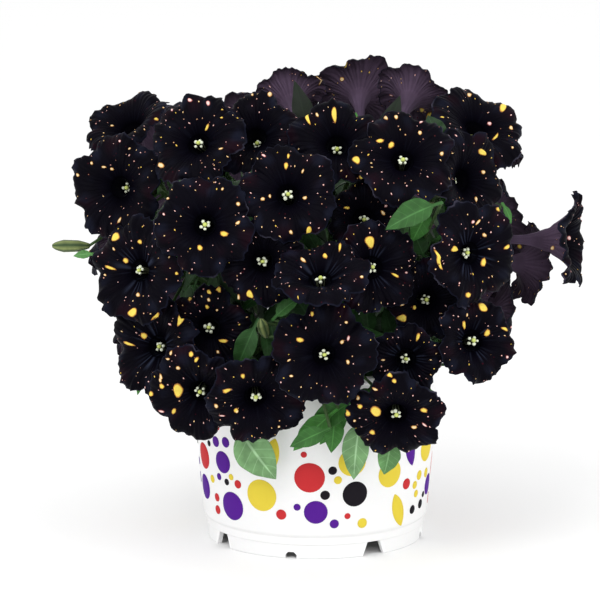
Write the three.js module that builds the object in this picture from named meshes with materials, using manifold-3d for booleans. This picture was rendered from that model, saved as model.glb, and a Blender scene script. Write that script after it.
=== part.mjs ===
// Potted petunia: a white pot of soil with nine leafy stems and a dome of dark ruffled blooms.
// Millimetres, +Z up. The ground is z = 0, and the plant is seen along +Y.
import * as THREE from 'three';
import { mergeVertices } from 'three/addons/utils/BufferGeometryUtils.js';
import Module from 'manifold-3d';

const wasm = await Module();
wasm.setup();

// Driving dimensions
const pot = {
  sides: 24,
  height: 97,
  floorHeight: 7.5,
  floorThickness: 1.6,
  wall: 1.4,
  footRadius: 56.8,
  footThickness: 2.6,
  bandRadius: 57.4,
  bandTop: 12.6,
  wallFoot: 59,
  wallTop: 66.3,
  lipOverhang: 2.2,
  lipHeight: 4,
  footTurn: 32,
  footGap: 10,
  notchWidth: 6,
  notchHeight: 3.5,
  drainRadius: 3.6,
  drainRing: 40,
  drains: 6,
};
const soil = { top: 87, gap: 0.3, lump: 1.3, sides: 24, lumpRing: 0.5, holeGap: 0.75 };
const viewRise = THREE.MathUtils.degToRad(10.5);
const viewDistance = 1900;

const corolla = {
  tubeLength: 34,
  baseRadius: 1.7,
  waistRadius: 2.4,
  waistDepth: 14,
  throatRadius: 5.6,
  throatDepth: 8,
  stamenRadius: 2,
  stamenTop: -1,
  wall: 0.8,
  notch: 0.17,
  reflex: 3.4,
  lobeWave: 1.5,
  saddleWave: 1.9,
};
const bloomGap = 0.5;
const pushStep = 1;
const pushLimit = 30;
const rollTries = 6;
const rollStep = 12;

// Each bloom that the front shows, the front ones first. Its throat is placed as seen from the front:
// across and up from the foot of the pot's axis, and toward the viewer from that axis. It faces turn
// degrees to the right of the viewer and lift degrees up, and roll turns its lobes. The last two
// values are the radius of its limb and how far the limb rises from the throat.
const frontBlooms = [
  [4, 102, 104, 0, 4, 10, 27, 6],
  [-32, 79, 92, 4, -18, 52, 26, 6],
  [42, 70, 93, 0, -24, 20, 25, 6],
  [2, 141, 104, -6, 60, 0, 25, 8],
  [82, 107, 76, 26, 14, 60, 22, 7],
  [-61, 81, 80, -14, -18, 40, 27, 6],
  [-83, 103, 60, -36, 10, 10, 27, 8],
  [80, 153, 76, 34, 4, 44, 27, 7],
  [-92, 143, 60, -36, 10, 10, 28, 8],
  [-58, 168, 80, -10, 10, 50, 26, 6],
  [45, 200, 64, 2, 36, 33, 27, 7],
  [-61, 208, 52, -24, 32, 20, 26, 7],
  [-15, 184, 78, -4, 26, 15, 26, 7],
  [47, 98, 84, 4, -2, 5, 19, 6],
  [-58, 113, 72, -12, 6, 24, 22, 6],
  [29, 146, 82, 14, 12, 30, 24, 7],
  [-29, 149, 84, -14, 2, 5, 23, 6],
  [76, 189, 48, 50, 10, 12, 27, 8],
  [58, 128, 68, 20, 4, 25, 22, 6],
  [-102, 184, 28, -30, 10, 32, 28, 7],
  [25, 170, 62, 0, 30, 10, 20, 7],
  [11, 207, 50, 4, 38, 22, 25, 7],
  [-32, 213, 46, -10, 40, 48, 25, 7],
  [84, 214, 16, 34, 46, 26, 27, 7],
  [-97, 214, 4, -44, 56, 18, 24, 9],
  [-13, 225, -12, -165, 34, 12, 20, 8],
  [23, 227, -30, 180, 30, 30, 25, 8],
  [49, 227, -12, 160, 32, 40, 20, 8],
  [121, 155, 2, 74, 2, 5, 25, 18],
  [108, 141, -22, 112, -10, 20, 22, 8],
];

// The blooms of the back, in rows round the dome: the bearing is measured from the viewer's side
// round by the right, so that 180 is the back, where the reach is longer by the depth.
const backRows = [
  { height: 204, reach: 92, from: 115, step: 43, count: 4, lift: 42 },
  { height: 160, reach: 104, from: 122, step: 28, count: 6, lift: 16 },
  { height: 116, reach: 94, from: 98, step: 27, count: 7, lift: 2 },
];
const backDepth = 11;
const backBloomRadius = 26;
const backBloomCup = 8;
const backBloomRoll = 23;

// The leafy stems: each path is the reach from the pot's axis and the height of its points. Six stems
// carry the sides and three the top, each in the wedge or cone of its own direction from the crown.
const leafyStem = { radius: 2.5, tipRadius: 1.6, rootDepth: 13 };
const outerShape = { path: [[24, 74.3], [24, 92], [27, 104], [33, 114], [41, 122], [50, 127]] };
const topShape = { path: [[8, 74.3], [8, 92], [9, 115], [12, 138], [17, 160], [22, 174]] };
const outerTurns = [0, 60, 120, 180, 240, 300];
const topTurns = [30, 150, 270];
const crown = new THREE.Vector3(0, 0, 108);
const topCone = THREE.MathUtils.degToRad(36);
const calyx = { gap: 0.3, length: 3, radius: 3.1, wall: 0.7, spread: 8, reach: 11 };
const routeShares = [0.86, 1, 0.72, 0.6, 0.45];
const routeReaches = [12, 20, 7, 28, 36, 16];
const routeSteps = [0, 0.2, 0.4, 0.6, 0.8, 1];
const stalkBends = [0, 3, 5];
const stalkRadii = [1.5, 1.3, 1.4];
const leafShape = {
  thickness: 0.8,
  segments: 3,
  stalk: 0.18,
  stalkWidth: 1.6,
  width: 0.46,
  swell: 2.05,
  baseCurve: 0.6,
  tipCurve: 1.05,
  arch: 0.1,
  fold: 0.3,
  flatWidth: 9,
  lengths: [42, 35, 28, 22],
  tilts: [0.85, 0.6, 1.1],
  turns: 9,
  share: 0.85,
  lowShare: 0.6,
  lowEvery: 3,
};
// Leaves and buds that the front shows. Base and tip are placed as seen, like a bloom's throat. A leaf
// has its width and the way its face looks, as turn to the right and lift in degrees, and a bud its
// radius.
const shownLeaves = [
  [-44, 65, 80, -21, 33, 76, 28, -10, 10],
  [12, 72, 84, -12, 49, 80, 16, 0, 30],
  [24, 70, 80, 20, 33, 76, 20, -10, 5],
  [40, 58, 77, 36, 36, 75, 17, 10, 5],
  [59, 82, 62, 63, 72, 62, 6, 20, 0],
  [81, 94, 60, 87, 85, 60, 6, 30, 0],
  [66, 180, 68, 36, 166, 72, 20, -10, 30],
  [73, 184, 46, 50, 194, 46, 13, 10, 50],
  [97, 178, 50, 102, 167, 50, 6, 30, 20],
  [-19, 156, 70, -31, 169, 70, 13, -10, 30],
  [-6, 164, 66, 8, 172, 66, 10, 0, 40],
  [-32, 158, 62, -34, 185, 62, 8, -50, 10],
  [-57, 143, 60, -69, 148, 60, 8, -20, 30],
  [-75, 155, 55, -84, 163, 55, 9, -20, 30],
  [-116, 149, 25, -127, 148, 25, 7, -30, 30],
  [-101, 129, 40, -108, 120, 40, 9, -40, 0],
  [-92, 94, 45, -102, 83, 45, 9, -40, 0],
  [-88, 93, 48, -94, 76, 48, 8, -30, 0],
  [-30, 119, 78, -42, 91, 76, 16, -10, 10],
  [-27, 117, 76, -26, 96, 74, 9, 20, 0],
  [-23, 118, 84, -7, 131, 84, 11, 0, 40],
  [15, 121, 82, 38, 136, 82, 16, 10, 40],
];
const shownBuds = [
  [-118, 153, 19, -138, 153, 19, 3.2],
  [64, 181, 52, 56, 192, 68, 4],
  [62, 178, 72, 51, 174, 74, 2.8],
  [-26, 109, 80, -29, 119, 82, 2.8],
  [65, 112, 70, 70, 104, 70, 2.3],
];
const twig = { radius: 0.8, overlap: 0.6, step: 2, tries: 90, shares: [0.3, 0.45, 0.6, 0.75, 0.9] };
const depthSteps = [0, -4, 4, -8, 8, -12, 12, -16, 16, -20, 20, -28, -36];
const flatness = 0.05;
// The room that leaves and stalks keep: from the pot and the blooms, from other stems, stalks and
// blades, and, for a stalk, from the other stems and stalks. In front of a limb it is much larger, so
// that few leaves hide a flower.
const room = {
  leaf: 0.9, stem: 6, stalk: 5, blade: 4, ownBlade: 2, stalkFromStem: 5, stalkFromStalk: 3.4,
  stalkFromPot: 1, front: 22, shownFront: 9,
};
// How far the true surface of a bloom can stand out from its profile: at the tube, with its calyx, at
// the throat, halfway out and at the waved rim.
const margins = { tube: 4.2, throat: 1.2, middle: 1.4, rim: 2.6 };
// The clear space round the pot: outside its lip, above it, and above the soil inside it.
const potRoom = { outside: 1.2, above: 1.5, soil: 3.5 };

// Helpers
const radians = THREE.MathUtils.degToRad;
const golden = radians(137.508);

function bearing(turn, reach, height) {
  return new THREE.Vector3(Math.sin(turn) * reach, -Math.cos(turn) * reach, height);
}

function solid(geometry) {
  const bare = geometry.clone();
  bare.deleteAttribute('normal');
  bare.deleteAttribute('uv');
  const merged = mergeVertices(bare, 1e-4);
  return new wasm.Manifold(new wasm.Mesh({
    numProp: 3,
    vertProperties: new Float32Array(merged.attributes.position.array),
    triVerts: new Uint32Array(merged.index.array),
  }));
}

function fromPoints(points, faces) {
  const geometry = new THREE.BufferGeometry();
  const flat = points.flatMap((point) => [point.x, point.y, point.z]);
  geometry.setAttribute('position', new THREE.Float32BufferAttribute(flat, 3));
  geometry.setIndex(faces);
  return geometry;
}

function toGeometry(body) {
  const mesh = body.getMesh();
  const geometry = new THREE.BufferGeometry();
  geometry.setAttribute('position', new THREE.Float32BufferAttribute(mesh.vertProperties, 3));
  geometry.setIndex([...mesh.triVerts]);
  return geometry;
}

function largestBody(body) {
  return body.decompose()
    .reduce((best, piece) => (piece.volume() > best.volume() ? piece : best))
    .asOriginal()
    .simplify(flatness);
}

// Faces between two rings of points that start at the given numbers. The second ring has as many
// points as the first, or twice as many.
function band(first, second, count, secondCount) {
  const faces = [];
  for (let i = 0; i < count; i += 1) {
    const next = (i + 1) % count;
    if (secondCount === count) {
      faces.push(first + i, first + next, second + i, first + next, second + next, second + i);
    } else {
      const between = second + 2 * i + 1;
      faces.push(first + i, between, second + 2 * i);
      faces.push(first + i, first + next, between);
      faces.push(first + next, second + ((2 * i + 2) % secondCount), between);
    }
  }
  return faces;
}

function flipped(faces) {
  const turned = [];
  for (let i = 0; i < faces.length; i += 3) turned.push(faces[i], faces[i + 2], faces[i + 1]);
  return turned;
}

function fan(first, count, centre) {
  const faces = [];
  for (let i = 0; i < count; i += 1) faces.push(first + i, first + ((i + 1) % count), centre);
  return faces;
}

// A point given as it is seen from the front: across and up in the plane of the pot's axis, and its
// distance toward the viewer.
function seen(across, up, toward) {
  const nearer = 1 - toward / viewDistance;
  const height = (up * nearer + toward * Math.sin(viewRise)) / Math.cos(viewRise);
  return new THREE.Vector3(across * nearer, -toward, height);
}

// Bloom
function place(row) {
  const [across, up, toward, turn, lift, roll, radius, cup] = row;
  return {
    throat: seen(across, up, toward),
    turn: radians(turn),
    lift: radians(lift),
    roll: radians(roll),
    radius,
    cup,
  };
}

function backBloom(row, i) {
  const turn = row.from + row.step * i;
  return {
    throat: bearing(radians(turn), row.reach + backDepth * Math.max(0, -Math.cos(radians(turn))), row.height),
    turn: radians(turn),
    lift: radians(row.lift),
    roll: radians(backBloomRoll * i),
    radius: backBloomRadius,
    cup: backBloomCup,
  };
}

function addFrame(bloom, i) {
  const { turn, lift } = bloom;
  bloom.number = i;
  bloom.axis = new THREE.Vector3(
    Math.sin(turn) * Math.cos(lift), -Math.cos(turn) * Math.cos(lift), Math.sin(lift));
  bloom.right = new THREE.Vector3(Math.cos(turn), Math.sin(turn), 0);
  bloom.upward = new THREE.Vector3().crossVectors(bloom.axis, bloom.right);
  return bloom;
}

function onBloom(bloom, angle, distance, rise) {
  return bloom.throat.clone()
    .addScaledVector(bloom.right, distance * Math.cos(angle + bloom.roll))
    .addScaledVector(bloom.upward, distance * Math.sin(angle + bloom.roll))
    .addScaledVector(bloom.axis, rise);
}

// A point of the limb, out from the throat by the share t: five lobes with a notch between each two,
// on a bowl whose rim bends back, with one wave for each lobe and a saddle over the whole limb.
function limb(bloom, angle, t) {
  const lobe = 1 - corolla.notch * (1 - Math.abs(Math.cos(2.5 * angle))) ** 1.6;
  const distance = corolla.throatRadius + (bloom.radius * lobe - corolla.throatRadius) * t;
  const size = bloom.radius / 26;
  const wave = corolla.lobeWave * Math.cos(5 * angle + 2.1 * bloom.number)
    + corolla.saddleWave * Math.cos(2 * angle + 3.7 * bloom.number);
  const rise = bloom.cup * (1 - (1 - t) ** 2) - corolla.reflex * size * t ** 4 + wave * size * t * t;
  return [distance, rise];
}

function ring(bloom, count, shape) {
  return Array.from({ length: count }, (_, i) => {
    const angle = (2 * Math.PI * i) / count;
    const [distance, rise] = shape(angle);
    return onBloom(bloom, angle, distance, rise);
  });
}

// The walls of the throat and the bowl lean, so the outer face stands out sideways by these.
const throatWall = 0.65;
const bowlWall = 0.25;
const baseFaces = [0, 2, 1, 0, 3, 2, 0, 4, 3];

function bloomGeometry(bloom) {
  const size = Math.min(1, bloom.radius / 20);
  const { wall } = corolla;
  const rings = [
    ring(bloom, 5, () => [corolla.baseRadius, -corolla.tubeLength]),
    ring(bloom, 5, () => [corolla.waistRadius, -corolla.waistDepth]),
    ring(bloom, 10, () => [(corolla.throatRadius + throatWall) * size, -wall / 2]),
    ring(bloom, 10, (angle) => {
      const [distance, rise] = limb(bloom, angle, 0.5);
      return [distance + bowlWall, rise - wall];
    }),
    ring(bloom, 20, (angle) => {
      const [distance, rise] = limb(bloom, angle, 1);
      return [distance, rise - wall];
    }),
    ring(bloom, 20, (angle) => limb(bloom, angle, 1)),
    ring(bloom, 10, (angle) => limb(bloom, angle, 0.5)),
    ring(bloom, 10, () => [corolla.throatRadius * size, 0]),
    ring(bloom, 5, () => [corolla.stamenRadius * size, -corolla.throatDepth]),
  ];
  const starts = [];
  let total = 0;
  for (const points of rings) {
    starts.push(total);
    total += points.length;
  }
  const faces = [
    ...baseFaces,
    ...band(starts[0], starts[1], 5, 5),
    ...band(starts[1], starts[2], 5, 10),
    ...band(starts[2], starts[3], 10, 10),
    ...band(starts[3], starts[4], 10, 20),
    ...band(starts[4], starts[5], 20, 20),
    ...flipped(band(starts[6], starts[5], 10, 20)),
    ...flipped(band(starts[7], starts[6], 10, 10)),
    ...flipped(band(starts[8], starts[7], 5, 10)),
    ...fan(starts[8], 5, total),
  ];
  return fromPoints([...rings.flat(), onBloom(bloom, 0, 0, corolla.stamenTop)], faces);
}

// A bloom that would touch one in front of it turns its lobes, so that a notch takes the other's tube,
// and moves back along its own axis until it is clear.
function settle(blooms) {
  const placed = [];
  for (const bloom of blooms) {
    const near = placed.filter((other) => other.at.distanceTo(bloom.throat) < 110);
    const firstRoll = bloom.roll;
    let clear = null;
    bloom.push = 0;
    while (!clear && bloom.push <= pushLimit) {
      for (let i = 0; !clear && i < rollTries; i += 1) {
        bloom.roll = firstRoll + radians(rollStep * i);
        const body = solid(bloomGeometry(bloom));
        if (near.every((other) => body.minGap(other.body, 2 * bloomGap) >= bloomGap)) clear = body;
      }
      if (!clear) {
        bloom.push += pushStep;
        bloom.throat.addScaledVector(bloom.axis, -pushStep);
      }
    }
    placed.push({ body: clear ?? solid(bloomGeometry(bloom)), at: bloom.throat });
  }
  return blooms;
}

const blooms = settle([
  ...frontBlooms.map(place),
  ...backRows.flatMap((row) => Array.from({ length: row.count }, (_, i) => backBloom(row, i))),
].map(addFrame));

// Pot
function lathe(profile, sides) {
  return new THREE.LatheGeometry(profile.map(([x, z]) => new THREE.Vector2(x, z)), sides)
    .rotateX(Math.PI / 2);
}

function potSolid() {
  const inner = (height) => {
    const share = (height - pot.bandTop) / (pot.height - pot.bandTop);
    return pot.wallFoot + (pot.wallTop - pot.wallFoot) * share - pot.wall;
  };
  const floorTop = pot.floorHeight + pot.floorThickness;
  const lipFoot = pot.height - pot.lipHeight;
  let body = solid(lathe([
    [0, pot.floorHeight],
    [pot.footRadius - pot.footThickness, pot.floorHeight],
    [pot.footRadius - pot.footThickness, 0],
    [pot.footRadius, 0],
    [pot.footRadius, pot.floorHeight],
    [pot.bandRadius, pot.floorHeight],
    [pot.bandRadius, pot.bandTop - 1],
    [pot.wallFoot - 0.4, pot.bandTop],
    [pot.wallFoot, pot.bandTop + 1],
    [inner(lipFoot) + pot.wall, lipFoot],
    [inner(lipFoot) + pot.wall + pot.lipOverhang, lipFoot + 0.4],
    [pot.wallTop + pot.lipOverhang, pot.height - 0.6],
    [pot.wallTop + pot.lipOverhang - 0.8, pot.height],
    [inner(pot.height), pot.height],
    [inner(pot.bandTop), pot.bandTop],
    [pot.bandRadius - pot.wall - 1, floorTop],
    [0, floorTop],
  ], pot.sides));
  const reach = pot.footRadius + 4;
  const halfGap = reach * Math.tan(radians(pot.footGap / 2));
  for (let i = 0; i < 4; i += 1) {
    const gap = new THREE.Shape([
      new THREE.Vector2(-halfGap - 1.6, -1),
      new THREE.Vector2(halfGap + 1.6, -1),
      new THREE.Vector2(halfGap - 1.6, pot.floorHeight - 0.02),
      new THREE.Vector2(-halfGap + 1.6, pot.floorHeight - 0.02),
    ]);
    const notch = new THREE.Shape([
      new THREE.Vector2(-pot.notchWidth / 2, -1),
      new THREE.Vector2(pot.notchWidth / 2, -1),
      new THREE.Vector2(pot.notchWidth / 2, pot.notchHeight - 1.5),
      new THREE.Vector2(pot.notchWidth / 2 - 1.5, pot.notchHeight),
      new THREE.Vector2(-pot.notchWidth / 2 + 1.5, pot.notchHeight),
      new THREE.Vector2(-pot.notchWidth / 2, pot.notchHeight - 1.5),
    ]);
    [[gap, 0], [notch, 45]].forEach(([shape, offset]) => {
      const cutter = new THREE.ExtrudeGeometry(shape, { depth: 20, bevelEnabled: false });
      cutter.rotateX(Math.PI / 2).translate(0, -reach + 20, 0);
      cutter.rotateZ(radians(pot.footTurn + offset + 90 * i));
      body = body.subtract(solid(cutter));
    });
  }
  for (let i = 0; i < pot.drains; i += 1) {
    const drain = new THREE.CylinderGeometry(pot.drainRadius, pot.drainRadius, 8, 8);
    drain.rotateX(Math.PI / 2).translate(0, -pot.drainRing, pot.floorHeight);
    drain.rotateZ((2 * Math.PI * i) / pot.drains);
    body = body.subtract(solid(drain));
  }
  return body;
}

// Soil
function soilSolid(stems) {
  const floorTop = pot.floorHeight + pot.floorThickness + soil.gap;
  const share = (soil.top - pot.bandTop) / (pot.height - pot.bandTop);
  const topRadius = pot.wallFoot + (pot.wallTop - pot.wallFoot) * share - pot.wall - soil.gap - 0.3;
  const footRadius = pot.bandRadius - pot.wall - 1 - soil.gap - 0.3;
  const bendRadius = pot.wallFoot - pot.wall - soil.gap - 0.5;
  const points = [new THREE.Vector3(0, 0, floorTop), new THREE.Vector3(0, 0, soil.top + 1.5)];
  const levels = [[footRadius, floorTop], [bendRadius, pot.bandTop + 1], [topRadius, soil.top - 1]];
  levels.forEach(([radius, height]) => {
    for (let i = 0; i < soil.sides; i += 1) {
      points.push(bearing((2 * Math.PI * i) / soil.sides, radius, height));
    }
  });
  for (let i = 0; i < soil.sides; i += 1) {
    const lump = soil.lump * Math.sin(7.1 * i) * Math.cos(2.3 * i);
    points.push(bearing((2 * Math.PI * i) / soil.sides, topRadius * soil.lumpRing, soil.top + lump));
  }
  const n = soil.sides;
  const faces = [
    ...flipped(fan(2, n, 0)),
    ...[0, 1, 2].flatMap((k) => band(2 + k * n, 2 + (k + 1) * n, n, n)),
    ...fan(2 + 3 * n, n, 1),
  ];
  let body = solid(fromPoints(points, faces));
  stems.forEach((stem) => {
    const hole = new THREE.CylinderGeometry(
      leafyStem.radius + soil.holeGap, leafyStem.radius + soil.holeGap, 2 * leafyStem.rootDepth, 6);
    hole.rotateX(Math.PI / 2).translate(stem.path[0].x, stem.path[0].y, soil.top - 0.35);
    body = body.subtract(solid(hole));
  });
  return largestBody(body);
}

// Leafy stems
function pointAlong(path, share) {
  const place = share * (path.length - 1);
  const i = Math.min(Math.floor(place), path.length - 2);
  return path[i].clone().lerp(path[i + 1], place - i);
}

function cubic(a, b, c, d, t) {
  const u = 1 - t;
  return new THREE.Vector3()
    .addScaledVector(a, u ** 3)
    .addScaledVector(b, 3 * u * u * t)
    .addScaledVector(c, 3 * u * t * t)
    .addScaledVector(d, t ** 3);
}

function makeStem(turn, shape, number) {
  const path = shape.path.map(([reach, height]) => bearing(turn, reach, height));
  return { number, turn, shape, path, blooms: [], routes: [], leaves: [], buds: [] };
}

function stemFor(stems, point) {
  const out = point.clone().sub(crown);
  const high = Math.atan2(Math.hypot(out.x, out.y), out.z) < topCone;
  const turn = Math.atan2(out.x, -out.y);
  const cells = stems.filter((stem) => (stem.shape === topShape) === high);
  const away = (stem) => Math.abs(Math.atan2(Math.sin(turn - stem.turn), Math.cos(turn - stem.turn)));
  return cells.reduce((best, stem) => (away(stem) < away(best) ? stem : best));
}

// How far a point is from a bloom, taken as a body turned about its axis. A point close in front of
// the limb counts as inside it, so that no leaf hides a flower.
function bloomDistance(bloom, point, frontRoom) {
  const away = point.clone().sub(bloom.throat);
  const rise = away.dot(bloom.axis);
  const distance = Math.sqrt(Math.max(0, away.lengthSq() - rise * rise));
  const size = bloom.radius / 26;
  const rim = bloom.cup - corolla.reflex * size;
  const profile = [
    [corolla.baseRadius, -corolla.tubeLength, margins.tube],
    [corolla.waistRadius, -corolla.waistDepth, margins.tube],
    [corolla.throatRadius, -corolla.wall / 2, margins.throat],
    [(corolla.throatRadius + bloom.radius) / 2, 0.75 * bloom.cup, margins.middle],
    [bloom.radius, rim, margins.rim * size],
  ];
  if (distance < bloom.radius * 0.9 && rise > -2 && rise < frontRoom) return -1;
  let nearest = Infinity;
  for (let i = 0; i + 1 < profile.length; i += 1) {
    const [r0, h0, m0] = profile[i];
    const [r1, h1, m1] = profile[i + 1];
    const along = ((distance - r0) * (r1 - r0) + (rise - h0) * (h1 - h0))
      / ((r1 - r0) ** 2 + (h1 - h0) ** 2);
    const share = Math.min(1, Math.max(0, along));
    const gap = Math.hypot(distance - r0 - share * (r1 - r0), rise - h0 - share * (h1 - h0));
    nearest = Math.min(nearest, gap - m0 - share * (m1 - m0));
  }
  return nearest;
}

function pathDistance(path, point) {
  let nearest = Infinity;
  for (let i = 0; i + 1 < path.length; i += 1) {
    const line = new THREE.Line3(path[i], path[i + 1]);
    nearest = Math.min(nearest, line.closestPointToPoint(point, true, new THREE.Vector3()).distanceTo(point));
  }
  return nearest;
}

function potDistance(point) {
  const reach = Math.hypot(point.x, point.y);
  const over = point.z - (pot.height + potRoom.above);
  const outside = reach - (pot.wallTop + pot.lipOverhang + potRoom.outside);
  const inside = Math.min(
    point.z - (soil.top + potRoom.soil), pot.wallTop - pot.wall - potRoom.above - reach);
  return Math.max(over, outside, inside);
}

// The route of a flower stalk: it leaves the stem and meets the tube's base along the tube's axis. The
// first of the tried routes that is clear of every other bloom and stalk is taken, or else the clearest.
// The solid stalk bends only at the points of its line.
function findRoute(stem, bloom, stems) {
  const foot = onBloom(bloom, 0, 0, -corolla.tubeLength - calyx.gap - calyx.length);
  let best = null;
  for (const share of routeShares) {
    for (const reach of routeReaches) {
      const start = pointAlong(stem.path, share);
      const ahead = pointAlong(stem.path, Math.min(1, share + 0.1)).sub(pointAlong(stem.path, share - 0.1));
      const first = start.clone().addScaledVector(ahead.normalize(), reach * 0.6);
      const last = foot.clone().addScaledVector(bloom.axis, -reach);
      const path = routeSteps.map((t) => cubic(start, first, last, foot, t));
      const rooms = path.slice(1).flatMap((point) => [
        potDistance(point) - room.stalkFromPot,
        ...blooms.filter((other) => other !== bloom)
          .map((other) => bloomDistance(other, point, room.front) + 1),
        ...stems.filter((other) => other !== stem).flatMap((other) => [
          pathDistance(other.path, point) - room.stalkFromStem,
          ...other.routes.map((route) => pathDistance(route.path, point) - room.stalkFromStalk),
        ]),
      ]);
      const least = Math.min(...rooms);
      if (!best || least > best.least) best = { path, line: stalkBends.map((i) => path[i]), least, bloom };
      if (least > 0) return best;
    }
  }
  return best;
}

// A leaf as stations along its midrib: each has a middle, a half width and the two edges, which stand
// up from the midrib by the fold.
function leafStations(leaf, count) {
  const { from, to, width, normal, arch, fold } = leaf;
  const along = to.clone().sub(from);
  const length = along.length();
  const direction = along.normalize();
  const face = normal.clone().addScaledVector(direction, -normal.dot(direction)).normalize();
  const side = new THREE.Vector3().crossVectors(direction, face);
  return Array.from({ length: count + 1 }, (_, i) => {
    const t = i / count;
    const blade = Math.max(0, (t - leafShape.stalk) / (1 - leafShape.stalk));
    const half = Math.max(leafShape.stalkWidth / 2 * (1 - blade),
      (width / 2) * leafShape.swell * blade ** leafShape.baseCurve * (1 - blade) ** leafShape.tipCurve);
    const middle = from.clone()
      .addScaledVector(direction, length * t)
      .addScaledVector(face, arch * 4 * t * (1 - t));
    return { middle, half, side, face, rise: fold * half };
  });
}

function leafSamples(leaf) {
  return leafStations(leaf, 9).slice(1).flatMap((station) => [-1, -0.5, 0, 0.5, 1].map((across) => (
    station.middle.clone()
      .addScaledVector(station.side, across * station.half)
      .addScaledVector(station.face, Math.abs(across) * station.rise)
  )));
}

// True if the points are clear of the pot, of every bloom and of every other stem.
function isClear(stem, stems, points, frontRoom) {
  return points.every((point) => (
    potDistance(point) > room.leaf
    && blooms.every((bloom) => bloomDistance(bloom, point, frontRoom) > room.leaf)
    && stems.every((other) => {
      const bladeRoom = other === stem ? room.ownBlade : room.blade;
      const bladesClear = [...other.leaves, ...other.buds].every((one) => (
        one.samples.every((sample) => sample.distanceTo(point) > bladeRoom)));
      return bladesClear && (other === stem || (pathDistance(other.path, point) > room.stem
        && other.routes.every((route) => pathDistance(route.path, point) > room.stalk)));
    })
  ));
}

// A leaf grows near the outer end of each flower stalk, and a second one lower on every third stalk. The
// first of the tried directions and lengths that is clear of everything else is taken, the long ones
// that reach the light first.
function growLeaf(stem, stems, route, share) {
  const from = pointAlong(route.line, share);
  const { axis, right, upward } = route.bloom;
  const out = from.clone().sub(crown).normalize();
  for (const length of leafShape.lengths) {
    for (const tilt of leafShape.tilts) {
      for (let i = 0; i < leafShape.turns; i += 1) {
        const turn = golden * route.bloom.number + (2 * Math.PI * i) / leafShape.turns;
        const direction = axis.clone().multiplyScalar(Math.cos(tilt))
          .addScaledVector(right, Math.sin(tilt) * Math.cos(turn))
          .addScaledVector(upward, Math.sin(tilt) * Math.sin(turn));
        const leaf = {
          from,
          to: from.clone().addScaledVector(direction, length),
          width: length * leafShape.width,
          normal: out,
          arch: leafShape.arch * length,
          fold: 0,
        };
        leaf.samples = leafSamples(leaf);
        if (isClear(stem, stems, leaf.samples, room.front)) {
          stem.leaves.push(leaf);
          return;
        }
      }
    }
  }
}

function between(from, to, count) {
  return Array.from({ length: count + 1 }, (_, i) => from.clone().lerp(to, i / count));
}

// A leaf or bud that the front shows: the first of the tried depths at which it is clear and a clear
// twig leads to it from a stem, the nearest ones first.
function growShown(stems, row, width, normal, list) {
  for (const step of depthSteps) {
    const from = seen(row[0], row[1], row[2] + step);
    const to = seen(row[3], row[4], row[5] + step);
    const arch = list === 'leaves' ? leafShape.arch * to.distanceTo(from) : 0;
    const fold = width > leafShape.flatWidth ? leafShape.fold : 0;
    const blade = { from, to, width, normal, arch, fold };
    blade.samples = leafSamples(blade);
    const starts = stems.flatMap((stem) => [stem.path, ...stem.routes.map((route) => route.line)]
      .flatMap((line) => twig.shares.map((share) => ({ stem, point: pointAlong(line, share) }))));
    starts.sort((a, b) => a.point.distanceTo(from) - b.point.distanceTo(from));
    for (const { stem, point } of starts.slice(0, twig.tries)) {
      const samples = between(point, from, Math.ceil(point.distanceTo(from) / twig.step)).slice(2);
      if (isClear(stem, stems, [...blade.samples, ...samples], room.shownFront)) {
        blade.samples.push(...samples);
        blade.twig = [point, from.clone().addScaledVector(to.clone().sub(from).normalize(), twig.overlap)];
        stem[list].push(blade);
        return null;
      }
    }
  }
  return null;
}

function ringAt(centre, tangent, side, radius, sides) {
  const other = new THREE.Vector3().crossVectors(tangent, side);
  return Array.from({ length: sides }, (_, i) => {
    const angle = (2 * Math.PI * i) / sides;
    return centre.clone()
      .addScaledVector(side, radius * Math.cos(angle))
      .addScaledVector(other, radius * Math.sin(angle));
  });
}

// A tube of rings along a path, worked back from its end, where the first point of the ring lies on the
// given side.
function tubeRings(path, radii, sides, endSide, endTangent) {
  const rings = [];
  let side = endSide.clone();
  for (let i = path.length - 1; i >= 0; i -= 1) {
    const before = path[Math.max(0, i - 1)];
    const after = path[Math.min(path.length - 1, i + 1)];
    const tangent = i === path.length - 1 ? endTangent.clone() : after.clone().sub(before).normalize();
    side = side.addScaledVector(tangent, -side.dot(tangent)).normalize();
    rings.unshift(ringAt(path[i], tangent, side, radii[i], sides));
  }
  return rings;
}

function tubeSolid(path, radii, sides, side) {
  const last = path[path.length - 1].clone().sub(path[path.length - 2]).normalize();
  const rings = tubeRings(path, radii, sides, side, last);
  const tip = path[path.length - 1].clone().addScaledVector(last, radii[radii.length - 1]);
  const count = rings.length;
  return solid(fromPoints([...rings.flat(), path[0], tip], [
    ...flipped(fan(0, sides, sides * count)),
    ...rings.slice(1).flatMap((_, i) => band(sides * i, sides * (i + 1), sides, sides)),
    ...fan(sides * (count - 1), sides, sides * count + 1),
  ]));
}

function stemTube(stem) {
  const radii = stem.path.map((_, i) => (
    leafyStem.radius + (leafyStem.tipRadius - leafyStem.radius) * (i / (stem.path.length - 1))));
  return tubeSolid(stem.path, radii, 4, bearing(stem.turn + Math.PI / 2, 1, 0));
}

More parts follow.
